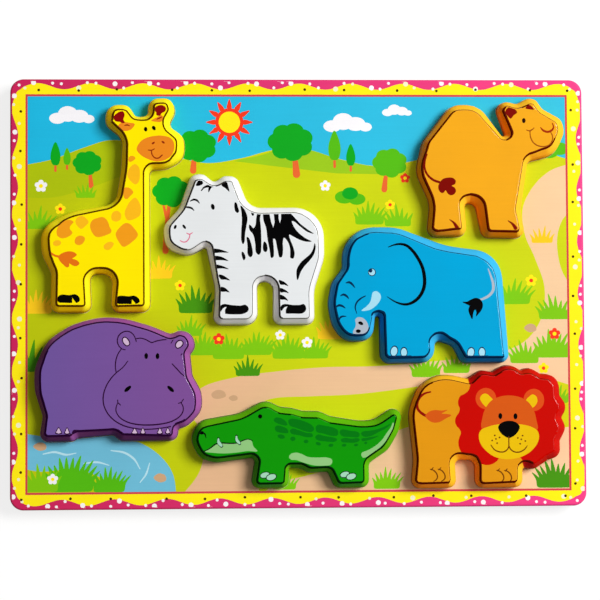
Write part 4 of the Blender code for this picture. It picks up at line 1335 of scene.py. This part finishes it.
    def marks(self) -> list[Mark]:
        """Add the toes, each a curved line with a short one above it.

        Returns:
            The marks, the last on top.
        """
        marks = super().marks()
        for x, y in ((70.4, -96.2), (74.4, -96.2), (104.9, -97), (108.9, -97.1)):
            marks.append(brush(self.brown, (0.35, 0.5, 0.5, 0.5, 0.3), x - 3.6, y + 4.2,
                x - 1.9, y + 3.6, x - 0.4, y + 1.9, x, y, x - 0.6, y - 1.2, x - 1.9, y - 2))
            marks.append(brush(self.brown, (0.45, 0.3), x - 3.1, y + 3.9, x - 2.2, y + 5))
        return marks

    def inks_at(self, place: np.ndarray) -> tuple[Lacquer, Lacquer, Lacquer]:
        """Red edge paint and ground round the mane, which has no dark line down its right side.

        Args:
            place: the place on the outline.

        Returns:
            The edge paint, line and ground colour.
        """
        left = self.mane_left if place[1] > self.belly else self.chest_right
        rim, ground = (self.mane_rim, self.mane) if place[0] > left else (self.rim, self.ground)
        plain = place[0] > self.mane_right and place[1] < self.mane_top
        return rim, self.mane if plain else self.line, ground


# The board

@dataclass
class Border:
    """The printed border: a pink band with a wavy inner edge on yellow, with scattered dots."""

    half_length: float  # half the board's length
    half_width: float  # half the board's width
    window: tuple[float, float]  # half the length and width of the picture with its line
    line_width: float = 1.1  # width of that line
    radius: float = 7.0  # of the board's corners
    bands: tuple[float, float, float, float] = (2.6, 3.8, 1.9, 3.8)  # left, bottom, right, top
    wave: float = 27.3  # length of one wave
    swing: float = 1.6  # how far the wavy edge swings to each side
    start: float = 0.8  # where in a wave the path starts, in radians
    spacing: float = 0.9  # between points of the path
    pale_dots: float = 6.4  # between the pale dots
    pale_sizes: tuple[float, float] = (1.3, 0.78)  # radius of every third one, and of the others
    brown_dots: float = 23.5  # between the brown dots
    brown_size: float = 0.72  # their radius
    pink: Lacquer = BoardPrint("border_pink_print", "#C82459", "#EE4085")
    yellow: Lacquer = BoardPrint("border_yellow_print", "#FFEA12")
    line: Lacquer = BoardPrint("picture_line_print", "#CC424A")
    white: Lacquer = BoardPrint("border_white_print", "#F6F2F4")
    cream: Lacquer = BoardPrint("border_cream_print", "#EDEBC8")
    brown: Lacquer = BoardPrint("border_brown_print", "#4A3200")

    def __post_init__(self) -> None:
        """Lay the path round the board's edge, and the wavy edge's distance from it."""
        x, y, r = self.half_length - self.radius, self.half_width - self.radius, self.radius
        turns = np.linspace(0, math.pi / 2, 12)
        path = np.concatenate([
            np.stack([cx + r * np.cos(start + turns), cy + r * np.sin(start + turns)], 1)
            for cx, cy, start in ((-x, -y, math.pi), (x, -y, 1.5 * math.pi),
                                  (x, y, 0.0), (-x, y, 0.5 * math.pi))])
        ring = np.concatenate([path, path[:1]])
        far = np.concatenate([[0.0], np.cumsum(np.linalg.norm(np.diff(ring, axis=0), axis=1))])
        even = np.linspace(0, far[-1], int(far[-1] / self.spacing), endpoint=False)
        self.path = np.stack([np.interp(even, far, ring[:, 0]), np.interp(even, far, ring[:, 1])], 1)
        self.inward = leftward(np.roll(self.path, -1, 0) - np.roll(self.path, 1, 0))
        left, bottom, right, top = self.bands
        across, along = self.inward.T
        mean = (across**2 * np.where(across > 0, left, right)
                + along**2 * np.where(along > 0, bottom, top))
        waves = round(far[-1] / self.wave)
        self.band = mean + self.swing * np.sin(2 * math.pi * waves * even / far[-1] + self.start)

    def rectangle(self, margin: float) -> np.ndarray:
        """Corners of the picture's window moved inwards by a margin, anticlockwise."""
        x, y = self.window[0] - margin, self.window[1] - margin
        return np.array([(-x, -y), (x, -y), (x, y), (-x, y)])

    def dot(self, ink: Lacquer, place: int, depth: float, size: float, count: int) -> Mark:
        """A dot of so many sides at a place on the path, a depth in from the board's edge."""
        return spot(ink, *(self.path[place] + self.inward[place] * depth), size, count=count)

    def marks(self) -> list[Mark]:
        """Draw the line round the picture, the yellow ground with its wavy edge, and the dots.

        Returns:
            The marks, the last on top.
        """
        wavy = self.path + self.inward * self.band[:, None]
        marks = [ring_mark(self.line, self.rectangle(-0.2), self.rectangle(self.line_width)),
                 ring_mark(self.pink, self.path - self.inward * 2, self.rectangle(0.0)),
                 ring_mark(self.yellow, wavy, self.rectangle(0.0))]
        points = len(self.path)
        count = round(points * self.spacing / self.pale_dots)
        for k in range(count):
            loose, other = (k * SCATTER) % 1.0, (k * OTHER_SCATTER) % 1.0
            place = int((k + 0.8 * loose) / count * points) % points
            depth = 1.7 + 1.3 * other if other < 0.7 else 4.3 + 2.4 * (other - 0.7)
            ink = self.cream if depth > self.band[place] else self.white
            marks.append(self.dot(ink, place, depth, self.pale_sizes[k % 3 > 0], 16))
        count = round(points * self.spacing / self.brown_dots)
        for k in range(count):
            place = int((k + 0.3 + 0.35 * ((k * SCATTER) % 1.0)) / count * points)
            depth = 5.2 + 0.9 * ((k * OTHER_SCATTER) % 1.0)
            marks.append(self.dot(self.brown, place, depth, self.brown_size, 14))
        return marks


@dataclass
class Landscape:
    """The printed picture: a plain landscape of rolling hills, trees, a sandy path and a brook.

    It is a generic design in the colours and at the scale of such boards.
    """

    half_length: float  # half the picture's length
    half_width: float  # half the picture's width
    meadow: Lacquer = BoardPrint("meadow_print", "#B7C208", "#C8D20C", fade_to=20.0)
    far_hill: Lacquer = BoardPrint("far_hill_print", "#97C51A")
    near_hill: Lacquer = BoardPrint("near_hill_print", "#ABBF08")
    sky: Lacquer = BoardPrint("sky_print", "#1CB4DE", "#33BCDE")
    sand: Lacquer = BoardPrint("sand_print", "#E3B68E", "#EEC79C", -40.0, 130.0)
    water: Lacquer = BoardPrint("water_print", "#6DBAD6")
    ripple: Lacquer = BoardPrint("ripple_print", "#B4DEEA")
    leaf: Lacquer = BoardPrint("leaf_print", "#08A41C")
    light_leaf: Lacquer = BoardPrint("light_leaf_print", "#52B80E")
    grass: Lacquer = BoardPrint("grass_print", "#7CC40C")
    dark_grass: Lacquer = BoardPrint("dark_grass_print", "#43900C")
    trunk: Lacquer = BoardPrint("trunk_print", "#E5662E")
    sun: Lacquer = BoardPrint("sun_print", "#FFE512")
    ray: Lacquer = BoardPrint("ray_print", "#F0391C")
    white: Lacquer = BoardPrint("cloud_print", "#F2F1F6")
    stone: Lacquer = BoardPrint("stone_print", "#C9A27C")
    straw: Lacquer = BoardPrint("straw_print", "#F6C61C")

    def tree(self, x: float, y: float, height: float, crown: float, lean: float,
             ink: Lacquer) -> list[Mark]:
        """A round-crowned tree.

        Args:
            x: foot of its trunk along X.
            y: foot of its trunk along Y.
            height: up to the middle of its crown.
            crown: radius of its crown.
            lean: how far its crown stands to the right of its foot.
            ink: finish of its crown.

        Returns:
            Its marks.
        """
        fork, top = (x + 0.3 * lean, y + 0.5 * height), (x + lean, y + height)
        marks = [brush(self.trunk, (0.34 * crown, 0.22 * crown, 0.16 * crown), x, y, *fork, *top),
                 brush(self.trunk, (0.16 * crown, 0.10 * crown), *fork,
                       top[0] - 0.55 * crown, top[1] - 0.3 * crown)]
        for k in range(7):
            angle = 2 * math.pi * k / 7 + 0.4
            marks.append(spot(ink, top[0] + 0.62 * crown * math.cos(angle),
                              top[1] + 0.5 * crown * math.sin(angle), 0.48 * crown, 0.42 * crown))
        return [*marks, spot(ink, *top, 0.75 * crown, 0.66 * crown)]

    def poplar(self, x: float, y: float, height: float, ink: Lacquer) -> list[Mark]:
        """A slender tree on its foot at x and y, with leaves of one ink."""
        w = 0.17 * height
        return [brush(self.trunk, (0.14 * w + 0.8, 0.1 * w + 0.6), x, y, x, y + 0.4 * height),
                patch(ink, x, y + height, x - 0.8 * w, y + 0.72 * height, x - w, y + 0.42 * height,
                      x - 0.5 * w, y + 0.2 * height, x + 0.5 * w, y + 0.2 * height,
                      x + w, y + 0.42 * height, x + 0.8 * w, y + 0.72 * height)]

    def cloud(self, x: float, y: float, size: float) -> list[Mark]:
        """A cloud of four round puffs about a middle."""
        return [spot(self.white, x + dx * size, y + dy * size, wide * size, high * size)
                for dx, dy, wide, high in ((-0.62, -0.05, 0.36, 0.24), (-0.18, 0.14, 0.42, 0.34),
                                           (0.32, 0.04, 0.40, 0.28), (0.72, -0.08, 0.26, 0.18))]

    def tuft(self, ink: Lacquer, x: float, y: float, height: float, blades: int,
             lean: float) -> list[Mark]:
        """A tuft of grass.

        Args:
            ink: its finish.
            x: its middle.
            y: its foot.
            height: of its tallest blade.
            blades: how many blades it has, at least 2.
            lean: how far its blades bend to the right, as a share of their height.

        Returns:
            Its marks.
        """
        marks = []
        for k in range(blades):
            side = 2 * k / (blades - 1) - 1
            tall = height * (1 - 0.42 * abs(side)) * (0.88 + 0.24 * ((k * SCATTER + x) % 1.0))
            foot, wide = x + side * 0.46 * height, 0.26 * height
            tip = foot + (0.55 * side + lean) * tall
            bend, half = foot + 0.3 * (tip - foot), 0.34 * wide
            marks.append(patch(ink, foot - wide / 2, y, foot + wide / 2, y, bend + half,
                               y + 0.5 * tall, tip, y + tall, bend - half, y + 0.5 * tall))
        return marks

    def flower(self, x: float, y: float, size: float, petal: Lacquer, heart: Lacquer) -> list[Mark]:
        """A daisy with five round petals about a heart."""
        marks = [spot(petal, x + 0.62 * size * math.cos(a), y + 0.62 * size * math.sin(a),
                      0.42 * size, count=14) for a in np.linspace(0.3, 0.3 + 2 * math.pi, 6)[:5]]
        return [*marks, spot(heart, x, y, 0.34 * size, count=12)]

    def marks(self) -> list[Mark]:
        """Draw the picture, from its ground to the nearest things; the border covers what sticks out.

        Returns:
            The marks, the last on top.
        """
        x, y = self.half_length, self.half_width
        marks = [
            facet(self.meadow, -x, -y, x, -y, x, y, -x, y),
            facet(self.sky, *curve(-142, 67, -128, 70, -112, 76, -98, 80, -84, 78, -66, 72, -48, 68,
                -30, 70.5, -12, 75, 4, 75, 22, 70, 40, 66.5, 60, 69, 84, 76, 104, 79, 122, 76, 142, 70),
                x + 1, y + 1, -x - 1, y + 1),
            # Two swells of the land behind the meadow
            facet(self.far_hill, *curve(-34, 69, -20, 72, -8, 75.5, 6, 74.8, 22, 69.8, 40, 66.3, 52, 67),
                46, 62, 20, 62.5, -10, 66),
            facet(self.near_hill, *curve(-142, 66.6, -128, 69.6, -112, 75.6, -98, 79.6, -84, 77.6),
                *curve(-90, 62, -112, 54, -128, 50, -142, 50)),
            *self.poplar(-126.5, 64, 15, self.leaf), *self.poplar(-120.5, 65, 11, self.light_leaf),
            # The path comes from the lower left, swings through the middle and goes up at the right
            facet(self.sand, *curve(-66, -110, -52, -92, -50, -74, -58, -60, -52, -50, -34, -44, -12, -41,
                12, -39, 40, -38.5, 72, -36, 100, -33, 118, -26, 127, -14, 129, 2, 124, 18, 119, 30,
                118, 44, 124, 56, 133, 64, 145, 68), *curve(145, 44, 139, 38, 136, 28, 138, 12, 145, 0),
                *curve(145, -50, 132, -46, 112, -44, 84, -46, 56, -50, 30, -53, 6, -54, -14, -55, -26, -59),
                *curve(-20, -66, -16, -80, -22, -94, -20, -110)),
            facet(self.sand, *curve(-24, -110, -14, -100, 4, -95, 22, -90, 40, -78, 58, -70, 90, -70,
                120, -74, 145, -70), 145, -110),
            # The brook runs in from the left and out at the bottom
            facet(self.water, *curve(-145, -72, -130, -74, -112, -72, -96, -74, -82, -78, -72, -85,
                -66, -94, -64, -110), *curve(-92, -110, -96, -101, -106, -94, -120, -91, -134, -92,
                -145, -90)),
            brush(self.ripple, (0.3, 0.9, 0.9, 0.3), -133, -83, -127, -82, -121, -83.4, -116, -82.6),
            brush(self.ripple, (0.3, 0.9, 0.3), -112, -88, -105, -87.4, -99, -89),
            brush(self.ripple, (0.3, 0.9, 0.9, 0.3), -98, -81.4, -91, -82.6, -86, -86, -83, -91),
            brush(self.ripple, (0.3, 0.8, 0.3), -83, -98, -80, -94, -78, -88),
            # Sun and clouds
            *(brush(self.ray, (2.6, 1.6, 0.5), *(
                c for far in (8.2, 10, 11.8) for c in (-36 + far * math.cos(a), 89.4 + far * math.sin(a))))
              for a in np.linspace(0, 2 * math.pi, 13)[:-1]),
            spot(self.ray, -36, 89.4, 7.4, count=40), spot(self.sun, -36, 89.4, 5.6, count=36),
            *self.cloud(-118, 92, 12), *self.cloud(26, 88, 13), *self.cloud(52, 95, 8),
            # Trees and bushes
            *self.tree(-55, 64, 13, 9.5, 2, self.leaf), *self.tree(-1, 62, 17, 11, -3, self.leaf),
            *self.tree(-69.5, 22, 31, 9, 3, self.leaf),
            *self.poplar(19, 66, 19, self.light_leaf), *self.poplar(27.5, 64, 14, self.leaf),
            *self.tree(45, 54, 14, 8.5, 3, self.light_leaf),
            *self.tree(-108, 56, 12, 7, -2, self.leaf),
            *spots(self.light_leaf, (132, 74, 5.4, 3.6), (138, 75.5, 4.6, 3.4), (24, 50, 5, 3.4),
                (30.5, 49, 4.6, 3)),
            spot(self.leaf, 27, 52, 4.2, 3.2),
            # Stones by the path and in the brook
            patch(self.stone, -46, -52.6, -43, -50.4, -39.4, -51.2, -38.4, -53.6, -42, -55, -45, -54.6),
            patch(self.stone, -37, -54.6, -35, -53.2, -32.6, -53.8, -32.4, -55.4, -35, -56.2),
            patch(self.stone, 118, -19, 120.4, -16.8, 123.6, -17.4, 124.4, -20, 121, -21.2),
            patch(self.stone, -138, -79, -135, -77, -131.6, -78, -131.4, -80.4, -135, -81.2),
            patch(self.stone, -76, -95.6, -73.4, -93.4, -70, -94.4, -69.6, -97, -73, -98),
        ]
        tufts = ((self.grass, -50, -32, 12, 9, 0.1), (self.grass, -37, -34, 13, 9, -0.1),
            (self.grass, -22, -32, 12, 9, 0.1), (self.grass, -6, -34, 13, 9, 0),
            (self.grass, 8, -34, 11, 8, 0.1), (self.dark_grass, -27, -43, 10, 7, 0),
            (self.grass, 113, -6, 13, 8, 0.2), (self.grass, 134, -14, 13, 8, -0.1),
            (self.grass, 133, -34, 15, 9, 0.1), (self.grass, 118, -37, 12, 8, -0.1),
            (self.grass, 37, 36, 12, 8, 0.1), (self.grass, 52, 35, 11, 7, -0.1),
            (self.grass, -135, 34, 11, 7, 0.1), (self.grass, -111, 50, 8, 6, 0),
            (self.straw, -136, -10, 12, 8, 0.1), (self.straw, -73, 8, 11, 7, 0),
            (self.straw, 17, -24, 12, 8, 0.1), (self.straw, 128, 26, 9, 6, 0),
            (self.dark_grass, -54, -10, 14, 8, 0), (self.dark_grass, -139, -40, 15, 7, 0.1),
            (self.light_leaf, -119, -102, 19, 11, 0.1), (self.grass, -134, -102, 14, 8, 0),
            (self.light_leaf, -99, -102.5, 13, 9, 0.1), (self.dark_grass, 133, -102, 15, 9, -0.1),
            (self.grass, 45, -102, 11, 8, 0.1), (self.grass, 66, -44, 12, 8, 0),
            (self.grass, 82, -42, 11, 7, 0.1), (self.grass, -8, -102, 9, 7, 0.1),
            (self.grass, -57, -22, 10, 7, 0.1), (self.grass, 134, -58, 11, 7, 0))
        for row in tufts:
            marks += self.tuft(*row)
        flowers = ((-134, 56, 3.2), (-124, 44, 2.8), (38, 24, 3), (14, 56, 2.8), (-62, 4, 2.8),
            (-42, -24, 3), (4, -26, 2.8), (122, 6, 3), (134, -22, 3), (-128, -96, 2.8), (48, 46, 2.6),
            (56, 60, 2.6), (-10, -22, 2.6), (128, -40, 2.8))
        colours = ((self.white, self.sun), (self.sun, self.ray), (self.ray, self.sun))
        for k, flower in enumerate(flowers):
            marks += self.flower(*flower, *colours[k % 3])
        return marks


@dataclass
class PrintedFrame:
    """The upper board: plywood sawn through in the outline of each animal and printed on top."""

    node: str = "frame_board"
    foot: float = 3.0  # height of its underside, on the back panel
    top: float = 12.0  # height of its printed face
    arris: float = 1.1  # rounding of its outer upper edge
    recess_arris: float = 0.18  # rounding of the recesses' upper edges
    recess_lead: float = 0.22  # how much closer to the blocks than in the CAD model they are
    flat: float = 0.08  # between a rounded edge and the print
    picture_margin: float = 8.0  # from the board's edge to the line round the picture

    def build(self) -> bpy.types.Object:
        """Make the frame board, hide the CAD solid and put the board on its body.

        Returns:
            The finished piece.
        """
        loops = wall_loops(self.node, self.top)
        half_length, half_width = np.ptp(loops[0], axis=0) / 2
        window = half_length - self.picture_margin, half_width - self.picture_margin
        border, picture = Border(half_length, half_width, window), Landscape(*window)
        shell = Shell("printed_frame")
        lows, highs, fences = [], [], []
        for place, loop in enumerate(loops):
            radius, lead = (self.recess_arris, self.recess_lead) if place else (self.arris, 0.0)
            reach = radius + self.flat
            outline = Outline(loop, reach - lead, lead)
            round_edge = [(inset / reach, self.top - drop) for inset, drop in quarter(radius, 4)]
            paint = SAWN_EDGE if place else border.pink
            low, high = shell.profile(outline, [(0.0, self.foot), *round_edge],
                                      lambda band, _, paint=paint: paint if band > 0 else SAWN_EDGE)
            lows.append(low)
            highs.append(high)
            fences.append(outline.inner)
        top = InkedFace(fences, border.pink, picture.marks() + border.marks())
        shell.lid(top, self.top, highs)
        shell.lid(InkedFace(fences, BARE_FACE), self.foot, lows, downwards=True)
        piece = shell.build()
        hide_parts(self.node)
        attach(piece, "board")
        return piece


@dataclass
class BackPanel:
    """The thin plywood panel under the frame board, which is the floor of the recesses."""

    node: str = "back_panel"
    top: float = 3.0  # height of its upper face
    arris: float = 0.5  # rounding of its lower edge
    flat: float = 0.3  # between that rounding and the face's own triangles

    def build(self) -> bpy.types.Object:
        """Make the panel, hide the CAD solid and put the panel on its body.

        Returns:
            The finished piece.
        """
        reach = self.arris + self.flat
        outline = Outline(wall_loops(self.node, self.top)[0], reach)
        lower = [(inset / reach, height) for height, inset in quarter(self.arris, 4)]
        face = InkedFace([outline.inner], BARE_FACE)
        shell = Shell("plywood_back")
        lowest, highest = shell.profile(outline, [*lower, (0.0, self.top)],
                                        lambda band, _: SAWN_EDGE)
        shell.lid(face, self.top, [highest])
        shell.lid(face, 0.0, [lowest], downwards=True)
        piece = shell.build()
        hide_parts(self.node)
        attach(piece, "board")
        return piece


# The studio

@dataclass(frozen=True)
class SweepPaper(Finish):
    """Matt white paper, shown white to the camera while it keeps the object's shadow."""

    name: str = "white_paper_sweep"
    own: float = 0.80  # what it adds to itself where it is seen, so that it is white

    def surface(self, add: Callable[..., Socket], place: Socket) -> Socket:
        """Add a glow for the camera to matt paper with a faint mottle.

        Args:
            add: adds a node to the tree.
            place: the place on the object.

        Returns:
            The shader.
        """
        fibre = add("TexNoise", {"Vector": place, "Scale": 1 / (4 * MM), "Detail": 2.0})
        tone = add("Mix", {FACTOR: fibre, A: linear("#7C7C7C"), B: linear("#828282")}, **MIX)
        paper = add("BsdfDiffuse", {"Color": tone})
        camera = add("LightPath", output="Is Camera Ray")
        rays = camera.node.outputs
        seen = add("Math", {0: camera, 1: rays["Is Glossy Ray"]}, operation="MAXIMUM")
        shown = add("Math", {0: seen, 1: rays["Is Transmission Ray"]}, operation="MAXIMUM")
        own = add("Math", {0: shown, 1: self.own}, operation="MULTIPLY")
        glow = add("Emission", {"Color": linear("#FFFFFF"), "Strength": own})
        return add("AddShader", {0: paper, 1: glow})


@dataclass
class Studio:
    """A plain pale floor with a low sweep all round, one soft lamp at the upper right, and a fill."""

    radius: float = 6.0  # of the floor, in metres
    sweep: float = 1.6  # height of the sweep at its rim, in metres
    count: int = 64  # steps round the floor
    key_place: tuple[float, float, float] = (1.37, 0.575, 1.70)  # of the lamp, in metres
    key_size: tuple[float, float] = (0.97, 0.90)  # its width and height, in metres
    key_power: float = 60.0  # in watts
    key_colour: str = "#FFFEFC"
    fill: float = 0.28  # strength of the even light from all round
    fill_colour: str = "#FFFBF8"  # a little warm
    paper: Finish = SweepPaper()

    def build(self) -> None:
        """Lay the floor and set the lamp and the fill."""
        rings = [(0.5 * self.radius, 0.0), (0.85 * self.radius, 0.0)]
        rings += [(self.radius * (0.85 + 0.15 * math.sin(a)), self.sweep * (1 - math.cos(a)))
                  for a in np.linspace(0, math.pi / 2, 8)[1:]]
        spots = [(0.0, 0.0, 0.0)]
        for far, height in rings:
            spots += [(far * math.cos(a), far * math.sin(a), height)
                      for a in np.linspace(0, 2 * math.pi, self.count, endpoint=False)]
        faces = []
        for k in range(1, self.count + 1):
            j = k % self.count + 1
            faces.append((0, k, j))
            for first in range(0, self.count * (len(rings) - 1), self.count):
                faces.append((first + k, first + self.count + k, first + self.count + j, first + j))
        mesh = bpy.data.meshes.new("floor_sweep")
        mesh.from_pydata(spots, [], faces)
        mesh.polygons.foreach_set("use_smooth", [True] * len(faces))
        mesh.materials.append(self.paper.material())
        add_object("floor_sweep", mesh)

        lamp = bpy.data.lights.new("soft_key", "AREA")
        lamp.shape, lamp.energy = "RECTANGLE", self.key_power
        lamp.size, lamp.size_y = self.key_size
        lamp.color = linear(self.key_colour)[:3]
        key = add_object("soft_key", lamp)
        key.location = self.key_place
        key.rotation_euler = Vector(self.key_place).to_track_quat("Z", "Y").to_euler()

        world = bpy.data.worlds.new("even_fill")
        world.use_nodes = True
        tree = world.node_tree
        tree.nodes.clear()
        light = add_node(tree, "Background", {"Color": linear(self.fill_colour), "Strength": self.fill})
        add_node(tree, "OutputWorld", {"Surface": light})
        bpy.context.scene.world = world
        bpy.context.scene.view_settings.view_transform = "Standard"
        log.info("studio: floor, one lamp and an even fill")


@dataclass
class PhotoCamera:
    """The camera where the photograph was taken: almost straight above the board's middle."""

    place: tuple[float, float, float] = (-0.0520787, -0.0530454, 1.0527928)  # in metres
    turn: tuple[float, float, float] = (0.04752634, -0.05011432, -0.00607847)  # in radians
    lens: float = 120.0  # in millimetres

    def build(self) -> None:
        """Make the camera and look through it."""
        data = bpy.data.cameras.new("photo_camera")
        data.sensor_width, data.lens = 36.0, self.lens
        camera = add_object("photo_camera", data)
        camera.location, camera.rotation_euler = self.place, self.turn
        bpy.context.scene.camera = camera


def main() -> None:
    """Build the puzzle, the studio and the camera."""
    logging.basicConfig(level=logging.INFO, format="%(message)s")
    PhotoCamera().build()
    Studio().build()
    for part in (BackPanel, PrintedFrame, Giraffe, Zebra, Elephant, Camel, Hippo, Crocodile, Lion):
        piece = part().build()
        log.info("%s: %d faces, %d finishes", piece.name, len(piece.data.polygons),
                 len(piece.data.materials))


if __name__ == "__main__":
    main()
